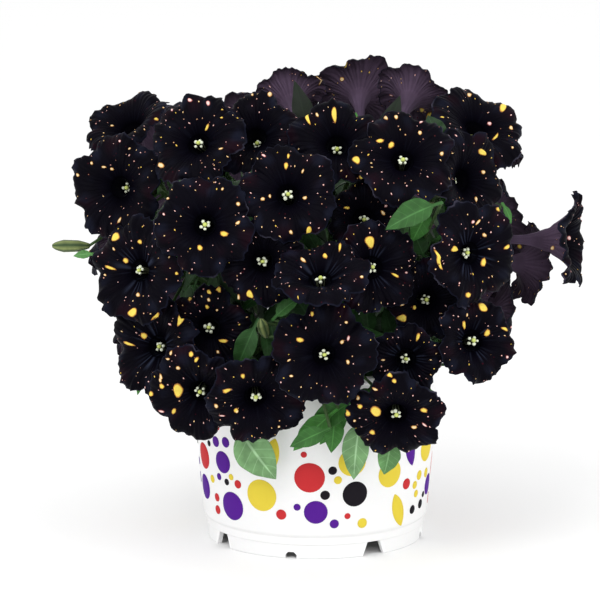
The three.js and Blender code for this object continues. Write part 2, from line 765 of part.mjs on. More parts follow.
// A flower stalk of three sides with its calyx: a small cup under the tube's base, and five sepals.
function stalkSolid(route) {
  const { bloom } = route;
  const side = onBloom(bloom, 0, 1, 0).sub(bloom.throat);
  const rings = tubeRings(route.line, stalkRadii, 3, side, bloom.axis);
  const base = -corolla.tubeLength - calyx.gap;
  const outer = ring(bloom, 5, () => [calyx.radius, base - 0.4]);
  const inner = ring(bloom, 5, () => [calyx.radius - calyx.wall, base]);
  const tips = Array.from({ length: 5 }, (_, i) => (
    onBloom(bloom, ((i + 0.5) * 2 * Math.PI) / 5, calyx.spread, base + calyx.reach)));
  const points = [...rings.flat(), ...outer, ...inner, ...tips];
  const faces = [0, 2, 1, ...band(0, 3, 3, 3), ...band(3, 6, 3, 3),
    6, 10, 9, 6, 7, 10, 7, 11, 10, 7, 12, 11, 7, 8, 12, 8, 13, 12, 8, 6, 13, 6, 9, 13,
    14, 15, 16, 14, 16, 17, 14, 17, 18];
  for (let i = 0; i < 5; i += 1) {
    const [out, nextOut, into, nextInto, tip] = [9 + i, 9 + ((i + 1) % 5), 14 + i, 14 + ((i + 1) % 5), 19 + i];
    faces.push(out, nextOut, tip, nextInto, into, tip, into, out, tip, nextOut, nextInto, tip);
  }
  return solid(fromPoints(points, faces));
}

function budSolid({ from, to, width }) {
  const path = [0, 0.3, 0.7, 1].map((share) => from.clone().lerp(to, share));
  const radii = [0.35, 0.9, 1, 0.3].map((share) => (share * width) / 2);
  return tubeSolid(path, radii, 5, bearing(0, 0, 1));
}

// A leaf's blade: each station has its points on top and the same ones below, and both faces are split
// alike. A folded leaf has a point on the midrib too.
function leafSolid(leaf) {
  const stations = leafStations(leaf, leafShape.segments);
  const half = leafShape.thickness / 2;
  const across = leaf.fold > 0 ? [-1, 0, 1] : [-1, 1];
  const n = across.length;
  const last = stations.pop();
  const points = stations.flatMap((station) => [half, -half].flatMap((offset) => across.map((side) => (
    station.middle.clone()
      .addScaledVector(station.side, side * station.half)
      .addScaledVector(station.face, Math.abs(side) * station.rise + offset)))));
  [half, -half].forEach((offset) => {
    points.push(last.middle.clone().addScaledVector(last.face, offset));
  });
  const faces = [];
  for (let k = 0; k + 1 < n; k += 1) faces.push(k, n + k, k + 1, k + 1, n + k, n + k + 1);
  for (let i = 0; i + 1 < stations.length; i += 1) {
    const a = 2 * n * i;
    const b = a + 2 * n;
    for (let k = 0; k + 1 < n; k += 1) {
      faces.push(a + k, a + k + 1, b + k, a + k + 1, b + k + 1, b + k);
      faces.push(a + n + k, b + n + k, a + n + k + 1, a + n + k + 1, b + n + k, b + n + k + 1);
    }
    faces.push(a, b, a + n, a + n, b, b + n);
    faces.push(a + n - 1, a + 2 * n - 1, b + n - 1, a + 2 * n - 1, b + 2 * n - 1, b + n - 1);
  }
  const a = 2 * n * (stations.length - 1);
  const tip = a + 2 * n;
  for (let k = 0; k + 1 < n; k += 1) {
    faces.push(a + k, a + k + 1, tip, a + n + k, tip + 1, a + n + k + 1);
  }
  faces.push(a, tip, a + n, a + n, tip, tip + 1);
  faces.push(a + n - 1, a + 2 * n - 1, tip, a + 2 * n - 1, tip + 1, tip);
  return solid(fromPoints(points, faces));
}

function growStems() {
  const stems = [];
  outerTurns.forEach((turn) => stems.push(makeStem(radians(turn), outerShape, stems.length)));
  topTurns.forEach((turn) => stems.push(makeStem(radians(turn), topShape, stems.length)));
  blooms.forEach((bloom) => {
    const stem = stemFor(stems, onBloom(bloom, 0, 0, -corolla.tubeLength));
    stem.blooms.push(bloom);
    stem.routes.push(findRoute(stem, bloom, stems));
  });
  shownBuds.forEach((row) => growShown(stems, row, 2 * row[6], bearing(0, 1, 0), 'buds'));
  shownLeaves.forEach((row) => {
    const face = addFrame({ turn: radians(row[7]), lift: radians(row[8]) }).axis;
    growShown(stems, row, row[6], face, 'leaves');
  });
  stems.forEach((stem) => stem.routes.forEach((route) => growLeaf(stem, stems, route, leafShape.share)));
  stems.forEach((stem) => stem.routes.filter((route) => route.bloom.number % leafShape.lowEvery === 0)
    .forEach((route) => growLeaf(stem, stems, route, leafShape.lowShare)));
  return stems;
}

function leafyStemSolid(stem) {
  const twigs = [...stem.leaves, ...stem.buds].filter((one) => one.twig);
  return largestBody([
    ...stem.routes.map(stalkSolid),
    ...twigs.map((one) => tubeSolid(one.twig, [twig.radius, twig.radius], 3, bearing(0, 0, 1))),
    ...stem.leaves.map(leafSolid),
    ...stem.buds.map(budSolid),
  ].reduce((body, piece) => body.add(piece), stemTube(stem)));
}

const stems = growStems();

const root = new THREE.Group();

function addMesh(name, geometry, material) {
  const mesh = new THREE.Mesh(geometry, material);
  mesh.name = name;
  root.add(mesh);
}

const whitePlastic = new THREE.MeshStandardMaterial({ color: 0xf4f4f2, roughness: 0.35 });
const darkSoil = new THREE.MeshStandardMaterial({ color: 0x3a2a20, roughness: 0.95 });
const leafGreen = new THREE.MeshStandardMaterial({ color: 0x4c8a3c, roughness: 0.6 });
const darkPetal = new THREE.MeshStandardMaterial({ color: 0x17131c, roughness: 0.6 });

addMesh('pot', toGeometry(largestBody(potSolid())), whitePlastic);
addMesh('soil', toGeometry(soilSolid(stems)), darkSoil);
blooms.forEach((bloom, i) => {
  addMesh(`bloom_${String(i + 1).padStart(2, '0')}`, bloomGeometry(bloom), darkPetal);
});
stems.forEach((stem, i) => {
  addMesh(`stem_${i + 1}`, toGeometry(leafyStemSolid(stem)), leafGreen);
});

export default root;
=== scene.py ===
import math

import bpy
import numpy as np
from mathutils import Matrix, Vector


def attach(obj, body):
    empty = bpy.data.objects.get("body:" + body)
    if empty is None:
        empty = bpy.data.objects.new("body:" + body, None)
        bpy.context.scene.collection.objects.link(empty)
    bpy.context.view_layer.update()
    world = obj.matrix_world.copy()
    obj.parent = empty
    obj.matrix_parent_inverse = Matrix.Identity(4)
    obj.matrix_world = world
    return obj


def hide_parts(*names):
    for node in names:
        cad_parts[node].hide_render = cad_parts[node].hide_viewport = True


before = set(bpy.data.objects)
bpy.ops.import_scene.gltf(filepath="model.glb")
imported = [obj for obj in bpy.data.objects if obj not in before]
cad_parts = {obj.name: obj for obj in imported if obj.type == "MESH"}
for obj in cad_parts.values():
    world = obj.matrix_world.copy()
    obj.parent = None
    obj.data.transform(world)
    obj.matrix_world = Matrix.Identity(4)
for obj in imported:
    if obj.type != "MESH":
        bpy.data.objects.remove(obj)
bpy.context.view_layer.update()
mm = 0.001
golden = math.radians(137.508)

# the camera: the photograph's viewing angle, from a long way off
camera = {"rise": 10.5, "distance": 1900.0, "halfWidth": 157.5, "target": (-8.1, 0.0, 125.5), "image": 600}


# a point at a turn round the pot's axis, counted from the front by the right, with its reach and height
def bearing(turn, reach, height):
    return np.array([math.sin(turn) * reach, -math.cos(turn) * reach, height])


# the level direction that lies to the right of a bearing
def sideways(turn):
    return np.array([math.cos(turn), math.sin(turn), 0.0])


# the direction of a vector, as one of length 1
def unit(vector):
    return vector / np.linalg.norm(vector)


# angles in equal steps once round, in radians
def circleAngles(sides):
    return 2 * math.pi * np.arange(sides) / sides


# points in equal steps round a circle of radius 1
def circle(sides):
    return np.stack([np.cos(circleAngles(sides)), np.sin(circleAngles(sides))], axis=1)


viewRise = math.radians(camera["rise"])
cameraTarget = np.array(camera["target"])
towardViewer = np.array([0.0, -math.cos(viewRise), math.sin(viewRise)])
cameraPlace = cameraTarget + camera["distance"] * towardViewer
imageUp = np.array([0.0, math.sin(viewRise), math.cos(viewRise)])


# where points land in the photograph: their offset across and up, divided by their depth
def onImage(points):
    away = points - cameraPlace
    depth = -(away @ towardViewer)
    reach = camera["distance"] / camera["halfWidth"] * camera["image"] / 2
    across = away[..., 0] / depth * reach
    upward = (away @ imageUp) / depth * reach
    return np.stack([camera["image"] / 2 + across, camera["image"] / 2 - upward], axis=-1)


cameraData = bpy.data.cameras.new("camera")
cameraData.sensor_width = 36
cameraData.lens = 18 * camera["distance"] / camera["halfWidth"]
cameraData.clip_start = 0.1
cameraData.clip_end = 20
cameraObject = bpy.data.objects.new("camera", cameraData)
bpy.context.scene.collection.objects.link(cameraObject)
cameraObject.location = tuple(cameraPlace * mm)
cameraObject.rotation_euler = (math.pi / 2 - viewRise, 0, 0)
bpy.context.scene.camera = cameraObject
print("camera placed")


# the plant's layout, from the same values as the solids, in millimetres and degrees

# a bloom's tube, throat and limb, and how its turn was tried
corolla = {
    "tubeLength": 34.0, "baseRadius": 1.7, "waistRadius": 2.4, "waistDepth": 14.0, "throatRadius": 5.6,
    "wall": 0.8, "notch": 0.17, "reflex": 3.4, "lobeWave": 1.5, "saddleWave": 1.9, "usualRadius": 26,
    "rollStep": 12, "rollTries": 6,
}
# across, up, toward, turn, lift, roll, radius and cup of each bloom that the front shows
frontBlooms = [
    [4, 102, 104, 0, 4, 10, 27, 6], [-32, 79, 92, 4, -18, 52, 26, 6], [42, 70, 93, 0, -24, 20, 25, 6],
    [2, 141, 104, -6, 60, 0, 25, 8], [82, 107, 76, 26, 14, 60, 22, 7], [-61, 81, 80, -14, -18, 40, 27, 6],
    [-83, 103, 60, -36, 10, 10, 27, 8], [80, 153, 76, 34, 4, 44, 27, 7], [-92, 143, 60, -36, 10, 10, 28, 8],
    [-58, 168, 80, -10, 10, 50, 26, 6], [45, 200, 64, 2, 36, 33, 27, 7], [-61, 208, 52, -24, 32, 20, 26, 7],
    [-15, 184, 78, -4, 26, 15, 26, 7], [47, 98, 84, 4, -2, 5, 19, 6], [-58, 113, 72, -12, 6, 24, 22, 6],
    [29, 146, 82, 14, 12, 30, 24, 7], [-29, 149, 84, -14, 2, 5, 23, 6], [76, 189, 48, 50, 10, 12, 27, 8],
    [58, 128, 68, 20, 4, 25, 22, 6], [-102, 184, 28, -30, 10, 32, 28, 7], [25, 170, 62, 0, 30, 10, 20, 7],
    [11, 207, 50, 4, 38, 22, 25, 7], [-32, 213, 46, -10, 40, 48, 25, 7], [84, 214, 16, 34, 46, 26, 27, 7],
    [-97, 214, 4, -44, 56, 18, 24, 9], [-13, 225, -12, -165, 34, 12, 20, 8],
    [23, 227, -30, 180, 30, 30, 25, 8], [49, 227, -12, 160, 32, 40, 20, 8],
    [121, 155, 2, 74, 2, 5, 25, 18], [108, 141, -22, 112, -10, 20, 22, 8],
]
# rows of blooms round the back: the first turn, the step to the next and how far they look up
backRows = [
    {"height": 204, "reach": 92, "from": 115, "step": 43, "count": 4, "lift": 42},
    {"height": 160, "reach": 104, "from": 122, "step": 28, "count": 6, "lift": 16},
    {"height": 116, "reach": 94, "from": 98, "step": 27, "count": 7, "lift": 2},
]
backBloom = {"depth": 11, "radius": 26, "cup": 8, "roll": 23}
pot = {
    "height": 97.0, "floorHeight": 7.5, "floorThickness": 1.6, "wall": 1.4, "footRadius": 56.8,
    "footThickness": 2.6, "bandRadius": 57.4, "bandTop": 12.6, "wallFoot": 59.0, "wallTop": 66.3,
    "lipOverhang": 2.2, "lipHeight": 4.0, "footTurn": 32, "footGap": 10, "notchWidth": 6,
    "notchHeight": 3.5, "drainRadius": 3.6, "drainRing": 40.0, "drains": 6,
}
soil = {"top": 87.0, "gap": 0.3}
# the stems, as six that carry the sides and three that carry the top: each path has reach and height
leafyStem = {"radius": 2.5, "tipRadius": 1.6, "stalkRadii": [1.5, 1.3, 1.4]}
outerShape = [[24, 74.3], [24, 92], [27, 104], [33, 114], [41, 122], [50, 127]]
topShape = [[8, 74.3], [8, 92], [9, 115], [12, 138], [17, 160], [22, 174]]
outerTurns = [0, 60, 120, 180, 240, 300]
topTurns = [30, 150, 270]
crown = np.array([0.0, 0.0, 108.0])
topCone = math.radians(36)
calyx = {"gap": 0.3, "length": 3.0, "radius": 3.1, "wall": 0.7, "spread": 8.0, "reach": 11.0}
# a flower stalk leaves its stem at one of these shares, and bends over one of these reaches
routeShares = [0.86, 1, 0.72, 0.6, 0.45]
routeReaches = [12, 20, 7, 28, 36, 16]
stalkBends = [0, 3, 5]
leafShape = {
    "stalk": 0.18, "stalkWidth": 1.6, "width": 0.46, "swell": 2.05, "baseCurve": 0.6, "tipCurve": 1.05,
    "arch": 0.1, "fold": 0.3, "flatWidth": 9, "lengths": [42, 35, 28, 22], "tilts": [0.85, 0.6, 1.1],
    "turns": 9, "share": 0.85, "lowShare": 0.6, "lowEvery": 3,
}
# base and tip as seen, width, the way the face looks, and the green of each leaf that the front shows:
# 0 is deep, 1 bright and 2 pale
shownLeaves = [
    [-44, 65, 80, -21, 33, 76, 28, -10, 10, 1.7], [12, 72, 84, -12, 49, 80, 16, 0, 30, 1.0],
    [24, 70, 80, 20, 33, 76, 20, -10, 5, 1.7], [40, 58, 77, 36, 36, 75, 17, 10, 5, 1.4],
    [59, 82, 62, 63, 72, 62, 6, 20, 0, 1.0], [81, 94, 60, 87, 85, 60, 6, 30, 0, 1.0],
    [66, 180, 68, 36, 166, 72, 20, -10, 30, 0.35], [73, 184, 46, 50, 194, 46, 13, 10, 50, 0.6],
    [97, 178, 50, 102, 167, 50, 6, 30, 20, 0.6], [-19, 156, 70, -31, 169, 70, 13, -10, 30, 0.7],
    [-6, 164, 66, 8, 172, 66, 10, 0, 40, 0.7], [-32, 158, 62, -34, 185, 62, 8, -50, 10, 0.5],
    [-57, 143, 60, -69, 148, 60, 8, -20, 30, 0.6], [-75, 155, 55, -84, 163, 55, 9, -20, 30, 0.5],
    [-116, 149, 25, -127, 148, 25, 7, -30, 30, 1.2], [-101, 129, 40, -108, 120, 40, 9, -40, 0, 0.5],
    [-92, 94, 45, -102, 83, 45, 9, -40, 0, 0.9], [-88, 93, 48, -94, 76, 48, 8, -30, 0, 0.9],
    [-30, 119, 78, -42, 91, 76, 16, -10, 10, 0.2], [-27, 117, 76, -26, 96, 74, 9, 20, 0, 0.2],
    [-23, 118, 84, -7, 131, 84, 11, 0, 40, 0.4], [15, 121, 82, 38, 136, 82, 16, 10, 40, 0.4],
]
# the same for leaves that only the scene has, where the front shows green, or would else show the floor
# between the blooms; their darkest greens are painted shade, for foliage in shadow
addedLeaves = [
    [16, 78, 80, 2, 52, 80, 17, 10, 10, 0.9], [10, 70, 78, 8, 48, 82, 15, 5, 10, 0.7],
    [20, 76, 76, -4, 60, 76, 18, 0, 20, 0.6], [8, 62, 74, -14, 52, 76, 14, 0, 20, 0.5],
    [30, 84, 68, 20, 68, 74, 14, 5, 10, 0.5], [28, 107, 60, 26, 127, 56, 13, 0, 10, 0.15],
    [64, 181, 64, 78, 166, 62, 14, 10, 30, 0.7], [60, 176, 66, 50, 158, 70, 15, 0, 20, 0.8],
    [66, 206, 46, 58, 222, 40, 16, 0, 20, 0.0], [57, 149, 62, 51, 163, 60, 13, 0, 20, 0.2],
    [22, 104, 64, 19, 124, 60, 13, 0, 10, 0.15], [42, 102, 62, 36, 122, 58, 13, 0, 10, 0.15],
    [-20, 98, 66, -24, 118, 62, 13, -10, 10, 0.2], [-36, 100, 66, -33, 120, 62, 13, -10, 10, 0.2],
]
# base and tip as seen, and radius, of each bud that the front shows
shownBuds = [
    [-118, 153, 19, -138, 153, 19, 3.2], [64, 181, 52, 56, 192, 68, 4], [62, 178, 72, 51, 174, 74, 2.8],
    [-26, 109, 80, -29, 119, 82, 2.8], [65, 112, 70, 70, 104, 70, 2.3],
]
# the twig of a leaf or bud, and how far its blade moves toward or from the viewer to find room
twig = {"radius": 0.8, "overlap": 0.6, "step": 2, "tries": 90, "shares": [0.3, 0.45, 0.6, 0.75, 0.9]}
depthSteps = [0, -4, 4, -8, 8, -12, 12, -16, 16, -20, 20, -28, -36]
# the room that leaves and stalks keep: from the pot and the blooms, from other stems, stalks and
# blades, for a stalk from other stems and stalks, and in front of a limb
room = {
    "leaf": 0.9, "stem": 6, "stalk": 5, "blade": 4, "ownBlade": 2, "stalkFromStem": 5,
    "stalkFromStalk": 3.4, "stalkFromPot": 1, "front": 22, "shownFront": 9,
}
# leaves that the solids don't have, grown along the flower stalks and the stems to close the gaps
# between the blooms
moreLeaves = {
    "shares": [0.95, 0.72, 0.5, 0.35], "lengths": [36, 28, 21, 15], "front": 10, "near": 1.0,
    "stemShares": [0.97, 0.86, 0.74, 0.62, 0.5], "stemSpins": [0.0, 2.3],
}
# how far a bloom's true surface can stand out from its profile, and the clear space round the pot
margins = {"tube": 4.2, "throat": 1.2, "middle": 1.4, "rim": 2.6}
potRoom = {"outside": 1.2, "above": 1.5, "soil": 3.5}


# a point placed as seen from the front: the nearer it is to the viewer, the smaller its true offset
def seen(across, up, toward):
    nearer = 1 - toward / camera["distance"]
    height = (up * nearer + toward * math.sin(viewRise)) / math.cos(viewRise)
    return np.array([across * nearer, -toward, height])


# the direction that looks a turn to the right of the viewer and a lift up
def facing(turn, lift):
    turn, lift = math.radians(turn), math.radians(lift)
    return np.array([math.sin(turn) * math.cos(lift), -math.cos(turn) * math.cos(lift), math.sin(lift)])


# a bloom's axis looks the way that its turn and lift give, with right and upward square to it
def makeBloom(number, throat, turn, lift, roll, radius, cup):
    axis, right = facing(turn, lift), sideways(math.radians(turn))
    return {"number": number, "throat": throat, "axis": axis, "right": right,
            "upward": np.cross(axis, right), "roll": math.radians(roll), "radius": radius, "cup": cup}


# points of a bloom, at a distance from its axis and a rise along it
def onBloom(bloom, angle, distance, rise):
    angle, distance, rise = np.broadcast_arrays(angle, distance, rise)
    return (bloom["throat"] + (distance * np.cos(angle + bloom["roll"]))[..., None] * bloom["right"]
            + (distance * np.sin(angle + bloom["roll"]))[..., None] * bloom["upward"]
            + rise[..., None] * bloom["axis"])


# the limb, out from the throat by the share t: five lobes with notches, on a bowl whose rim bends back,
# with one wave for each lobe and a saddle over the whole limb
def limb(bloom, angle, t):
    lobe = 1 - corolla["notch"] * (1 - np.abs(np.cos(2.5 * angle))) ** 1.6
    distance = corolla["throatRadius"] + (bloom["radius"] * lobe - corolla["throatRadius"]) * t
    size = bloom["radius"] / corolla["usualRadius"]
    wave = (corolla["lobeWave"] * np.cos(5 * angle + 2.1 * bloom["number"])
            + corolla["saddleWave"] * np.cos(2 * angle + 3.7 * bloom["number"]))
    rise = bloom["cup"] * (1 - (1 - t) ** 2) - corolla["reflex"] * size * t**4 + wave * size * t * t
    return distance, rise


# a bloom's turn and its place along its axis are read back from its solid: the base of the tube gives
# the place, and the try whose rim points meet the solid's own gives the turn
def settle(bloom):
    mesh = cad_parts["bloom_%02d" % (bloom["number"] + 1)].data
    corners = np.empty(3 * len(mesh.vertices))
    mesh.vertices.foreach_get("co", corners)
    corners = np.unique(np.round(corners.reshape(-1, 3) / mm, 3), axis=0)
    base = (corners @ bloom["axis"]).min() + corolla["tubeLength"]
    bloom["throat"] = bloom["throat"] + round(base - bloom["throat"] @ bloom["axis"]) * bloom["axis"]
    rim = circleAngles(20)
    firstRoll, misses = bloom["roll"], []
    for i in range(corolla["rollTries"]):
        bloom["roll"] = firstRoll + math.radians(corolla["rollStep"] * i)
        points = onBloom(bloom, rim, *limb(bloom, rim, 1.0))
        misses.append(np.linalg.norm(points[:, None] - corners[None], axis=2).min(axis=1).max())
    best = int(np.argmin(misses))
    bloom["roll"] = firstRoll + math.radians(corolla["rollStep"] * best)
    return misses[best]


blooms = []
for across, up, toward, turn, lift, roll, radius, cup in frontBlooms:
    blooms.append(makeBloom(len(blooms), seen(across, up, toward), turn, lift, roll, radius, cup))
for row in backRows:
    for i in range(row["count"]):
        turn = row["from"] + row["step"] * i
        reach = row["reach"] + backBloom["depth"] * max(0, -math.cos(math.radians(turn)))
        blooms.append(makeBloom(len(blooms), bearing(math.radians(turn), reach, row["height"]), turn,
                                row["lift"], backBloom["roll"] * i, backBloom["radius"], backBloom["cup"]))
worst = max(settle(bloom) for bloom in blooms)
print("blooms settled, rims within %.3f mm" % worst)


# the point of a line at a share of its steps
def pointAlong(path, share):
    place = share * (len(path) - 1)
    i = min(int(place), len(path) - 2)
    return path[i] + (path[i + 1] - path[i]) * (place - i)


# a smooth curve from a to d that leaves toward b and arrives from c
def cubic(a, b, c, d, t):
    t = np.asarray(t, dtype=float)[..., None]
    u = 1 - t
    return a * u**3 + b * 3 * u * u * t + c * 3 * u * t * t + d * t**3


throats = np.array([bloom["throat"] for bloom in blooms])
axes = np.array([bloom["axis"] for bloom in blooms])
radii = np.array([bloom["radius"] for bloom in blooms], dtype=float)
cups = np.array([bloom["cup"] for bloom in blooms], dtype=float)
sizes = radii / corolla["usualRadius"]


# every bloom as a body turned about its axis, by five points of its profile: the tube's base and waist,
# the throat, halfway out and the rim
def profileOf(*values):
    return np.stack([np.broadcast_to(value, len(blooms)) for value in values], axis=1)


profileRadius = profileOf(corolla["baseRadius"], corolla["waistRadius"], corolla["throatRadius"],
                          (corolla["throatRadius"] + radii) / 2, radii)
profileRise = profileOf(-corolla["tubeLength"], -corolla["waistDepth"], -corolla["wall"] / 2,
                        0.75 * cups, cups - corolla["reflex"] * sizes)
profileMargin = profileOf(margins["tube"], margins["tube"], margins["throat"], margins["middle"],
                          margins["rim"] * sizes)


# how far points are from each bloom: the gap to the nearest line of its profile, less the margin there,
# and less than nothing in front of its limb
def bloomDistance(points, frontRoom):
    away = points[:, None] - throats[None]
    rise = np.einsum("pbk,bk->pb", away, axes)
    distance = np.sqrt(np.maximum(0, (away**2).sum(axis=2) - rise**2))
    r0, h0, m0 = profileRadius[:, :-1], profileRise[:, :-1], profileMargin[:, :-1]
    dr, dh, dm = (np.diff(values, axis=1) for values in (profileRadius, profileRise, profileMargin))
    along = ((distance[..., None] - r0) * dr + (rise[..., None] - h0) * dh) / (dr**2 + dh**2)
    share = np.clip(along, 0, 1)
    across, along = distance[..., None] - r0 - share * dr, rise[..., None] - h0 - share * dh
    gap = np.hypot(across, along) - m0 - share * dm
    hidden = (distance < radii * 0.9) & (rise > -2) & (rise < frontRoom)
    return np.where(hidden, -1.0, gap.min(axis=2))


# how far points are from the nearest line of a path
def pathDistance(path, points):
    start, step = path[:-1], np.diff(path, axis=0)
    share = np.clip(((points[:, None] - start) * step).sum(axis=2) / (step**2).sum(axis=1), 0, 1)
    return np.linalg.norm(points[:, None] - start - share[..., None] * step, axis=2).min(axis=1)


# how far points are from the pot: over it, outside its lip, or inside it and over the soil
def potDistance(points):
    reach = np.hypot(points[:, 0], points[:, 1])
    over = points[:, 2] - (pot["height"] + potRoom["above"])
    outside = reach - (pot["wallTop"] + pot["lipOverhang"] + potRoom["outside"])
    inside = np.minimum(points[:, 2] - (soil["top"] + potRoom["soil"]),
                        pot["wallTop"] - pot["wall"] - potRoom["above"] - reach)
    return np.maximum(np.maximum(over, outside), inside)


stems = []
for turns, shape in ((outerTurns, outerShape), (topTurns, topShape)):
    for turn in turns:
        path = np.array([bearing(math.radians(turn), reach, height) for reach, height in shape])
        stems.append({"number": len(stems), "turn": math.radians(turn), "high": shape is topShape,
                      "path": path, "routes": [], "leaves": [], "buds": [], "more": []})


# the stem in whose cone or wedge a point lies, as seen from the crown
def stemFor(point):
    out = point - crown
    high = math.atan2(math.hypot(out[0], out[1]), out[2]) < topCone
    turn = math.atan2(out[0], -out[1])
    cells = [stem for stem in stems if stem["high"] == high]
    return min(cells, key=lambda stem: abs(math.remainder(turn - stem["turn"], 2 * math.pi)))


# a flower stalk leaves its stem and meets the tube's base along the tube's axis, by the first of the
# tried routes that is clear, or else the clearest
def findRoute(stem, bloom):
    foot = onBloom(bloom, 0.0, 0.0, -corolla["tubeLength"] - calyx["gap"] - calyx["length"])
    best = None
    for share in routeShares:
        start = pointAlong(stem["path"], share)
        ahead = unit(pointAlong(stem["path"], min(1, share + 0.1)) - pointAlong(stem["path"], share - 0.1))
        for reach in routeReaches:
            ends = (start, start + ahead * reach * 0.6, foot - bloom["axis"] * reach, foot)
            path = cubic(*ends, [0, 0.2, 0.4, 0.6, 0.8, 1])
            others = np.delete(bloomDistance(path[1:], room["front"]), bloom["number"], axis=1)
            rooms = [potDistance(path[1:]).min() - room["stalkFromPot"], others.min() + 1]
            for other in stems:
                if other is not stem:
                    rooms.append(pathDistance(other["path"], path[1:]).min() - room["stalkFromStem"])
                    for route in other["routes"]:
                        gap = pathDistance(route["path"], path[1:]).min()
                        rooms.append(gap - room["stalkFromStalk"])
            if best is None or min(rooms) > best["least"]:
                best = {"path": path, "line": path[stalkBends], "ends": ends, "least": min(rooms),
                        "bloom": bloom}
            if min(rooms) > 0:
                return best
    return best


# stations along a leaf's midrib: the middle, the half width, the side, the face and how far the edges
# stand up from the midrib
def leafStations(leaf, t):
    along = leaf["to"] - leaf["from"]
    length = np.linalg.norm(along)
    along = along / length
    face = unit(leaf["normal"] - leaf["normal"] @ along * along)
    blade = np.maximum(0, (t - leafShape["stalk"]) / (1 - leafShape["stalk"]))
    half = np.maximum(leafShape["stalkWidth"] / 2 * (1 - blade),
                      leaf["width"] / 2 * leafShape["swell"] * blade ** leafShape["baseCurve"]
                      * np.maximum(0, 1 - blade) ** leafShape["tipCurve"])
    middle = (leaf["from"] + np.multiply.outer(length * t, along)
              + np.multiply.outer(leaf["arch"] * 4 * t * (1 - t), face))
    return middle, half, np.cross(along, face), face, leaf["fold"] * half


# points all over a blade, to measure its room by
def leafSamples(leaf):
    middle, half, side, face, rise = leafStations(leaf, np.arange(1, 10) / 9)
    across = np.array([-1, -0.5, 0, 0.5, 1])
    points = (middle[:, None] + (across * half[:, None])[..., None] * side
              + (np.abs(across) * rise[:, None])[..., None] * face)
    return points.reshape(-1, 3)


# True if the points are clear of the pot and of every bloom
def clearOfOthers(points, frontRoom):
    if potDistance(points).min() <= room["leaf"]:
        return False
    return bloomDistance(points, frontRoom).min() > room["leaf"]


# True if the points are clear of every blade, and of every other stem and its stalks
def clearOfStems(stem, points, near=None):
    for other in stems:
        bladeRoom = near or (room["ownBlade"] if other is stem else room["blade"])
        blades = [blade["samples"] for blade in other["leaves"] + other["buds"] + other["more"]]
        if blades:
            gaps = ((np.concatenate(blades)[:, None] - points[None]) ** 2).sum(axis=2)
            if gaps.min() <= bladeRoom**2:
                return False
        if other is not stem:
            if pathDistance(other["path"], points).min() <= room["stem"]:
                return False
            if any(pathDistance(route["path"], points).min() <= room["stalk"] for route in other["routes"]):
                return False
    return True


# a leaf on a stalk: the first of the tried lengths, tilts and turns at which it is clear
def growLeaf(stem, route, share, kind, lengths, frontRoom, spin=0.0):
    bloom = route["bloom"]
    start = pointAlong(route["line"], share)
    for length in lengths:
        for tilt in leafShape["tilts"]:
            for i in range(leafShape["turns"]):
                turn = golden * bloom["number"] + 2 * math.pi * i / leafShape["turns"] + spin
                direction = (bloom["axis"] * math.cos(tilt)
                             + bloom["right"] * math.sin(tilt) * math.cos(turn)
                             + bloom["upward"] * math.sin(tilt) * math.sin(turn))
                leaf = {"from": start, "to": start + direction * length, "fold": 0,
                        "width": length * leafShape["width"], "normal": unit(start - crown),
                        "arch": leafShape["arch"] * length}
                leaf["samples"] = leafSamples(leaf)
                if clearOfOthers(leaf["samples"], frontRoom) and clearOfStems(stem, leaf["samples"]):
                    stem[kind].append(leaf)
                    return


# a leaf or bud that the front shows: the first of the tried depths at which it is clear and a clear
# twig leads to it from a stem, the nearest ones first
def growShown(row, width, normal, kind, green=1.0, near=None):
    for step in depthSteps:
        start, end = seen(row[0], row[1], row[2] + step), seen(row[3], row[4], row[5] + step)
        arch = leafShape["arch"] * np.linalg.norm(end - start) if kind == "leaves" else 0
        fold = leafShape["fold"] if width > leafShape["flatWidth"] else 0
        blade = {"from": start, "to": end, "width": width, "normal": normal, "arch": arch, "fold": fold,
                 "green": green}
        blade["samples"] = leafSamples(blade)
        if not clearOfOthers(blade["samples"], room["shownFront"]):
            continue
        starts = [(stem, pointAlong(line, share)) for stem in stems
                  for line in [stem["path"]] + [route["line"] for route in stem["routes"]]
                  for share in twig["shares"]]
        starts.sort(key=lambda each: np.linalg.norm(each[1] - start))
        for stem, point in starts[:twig["tries"]]:
            count = math.ceil(np.linalg.norm(point - start) / twig["step"])
            samples = point + np.multiply.outer(np.arange(2, count + 1) / count, start - point)
            if len(samples) and not clearOfOthers(samples, room["shownFront"]):
                continue
            points = np.concatenate([blade["samples"], samples])
            if clearOfStems(stem, points, near):
                blade["samples"] = points
                blade["twig"] = [point, start]
                stem[kind].append(blade)
                return
    print("no room for", kind, row)


for bloom in blooms:
    stem = stemFor(onBloom(bloom, 0.0, 0.0, -corolla["tubeLength"]))
    stem["routes"].append(findRoute(stem, bloom))
for row in shownBuds:
    growShown(row, 2 * row[6], facing(0, 0), "buds")
for row in shownLeaves:
    growShown(row, row[6], facing(row[7], row[8]), "leaves", row[9])
for share, every in ((leafShape["share"], 1), (leafShape["lowShare"], leafShape["lowEvery"])):
    for stem in stems:
        for route in stem["routes"]:
            if route["bloom"]["number"] % every == 0:
                growLeaf(stem, route, share, "leaves", leafShape["lengths"], room["front"])
print("stems routed:", [len(stem["leaves"]) for stem in stems], [len(stem["buds"]) for stem in stems])
for row in addedLeaves:
    growShown(row, row[6], facing(row[7], row[8]), "leaves", row[9], moreLeaves["near"])
for spin, share in enumerate(moreLeaves["shares"]):
    for stem in stems:
        for route in stem["routes"]:
            growLeaf(stem, route, share, "more", moreLeaves["lengths"], moreLeaves["front"], 0.4 + spin)
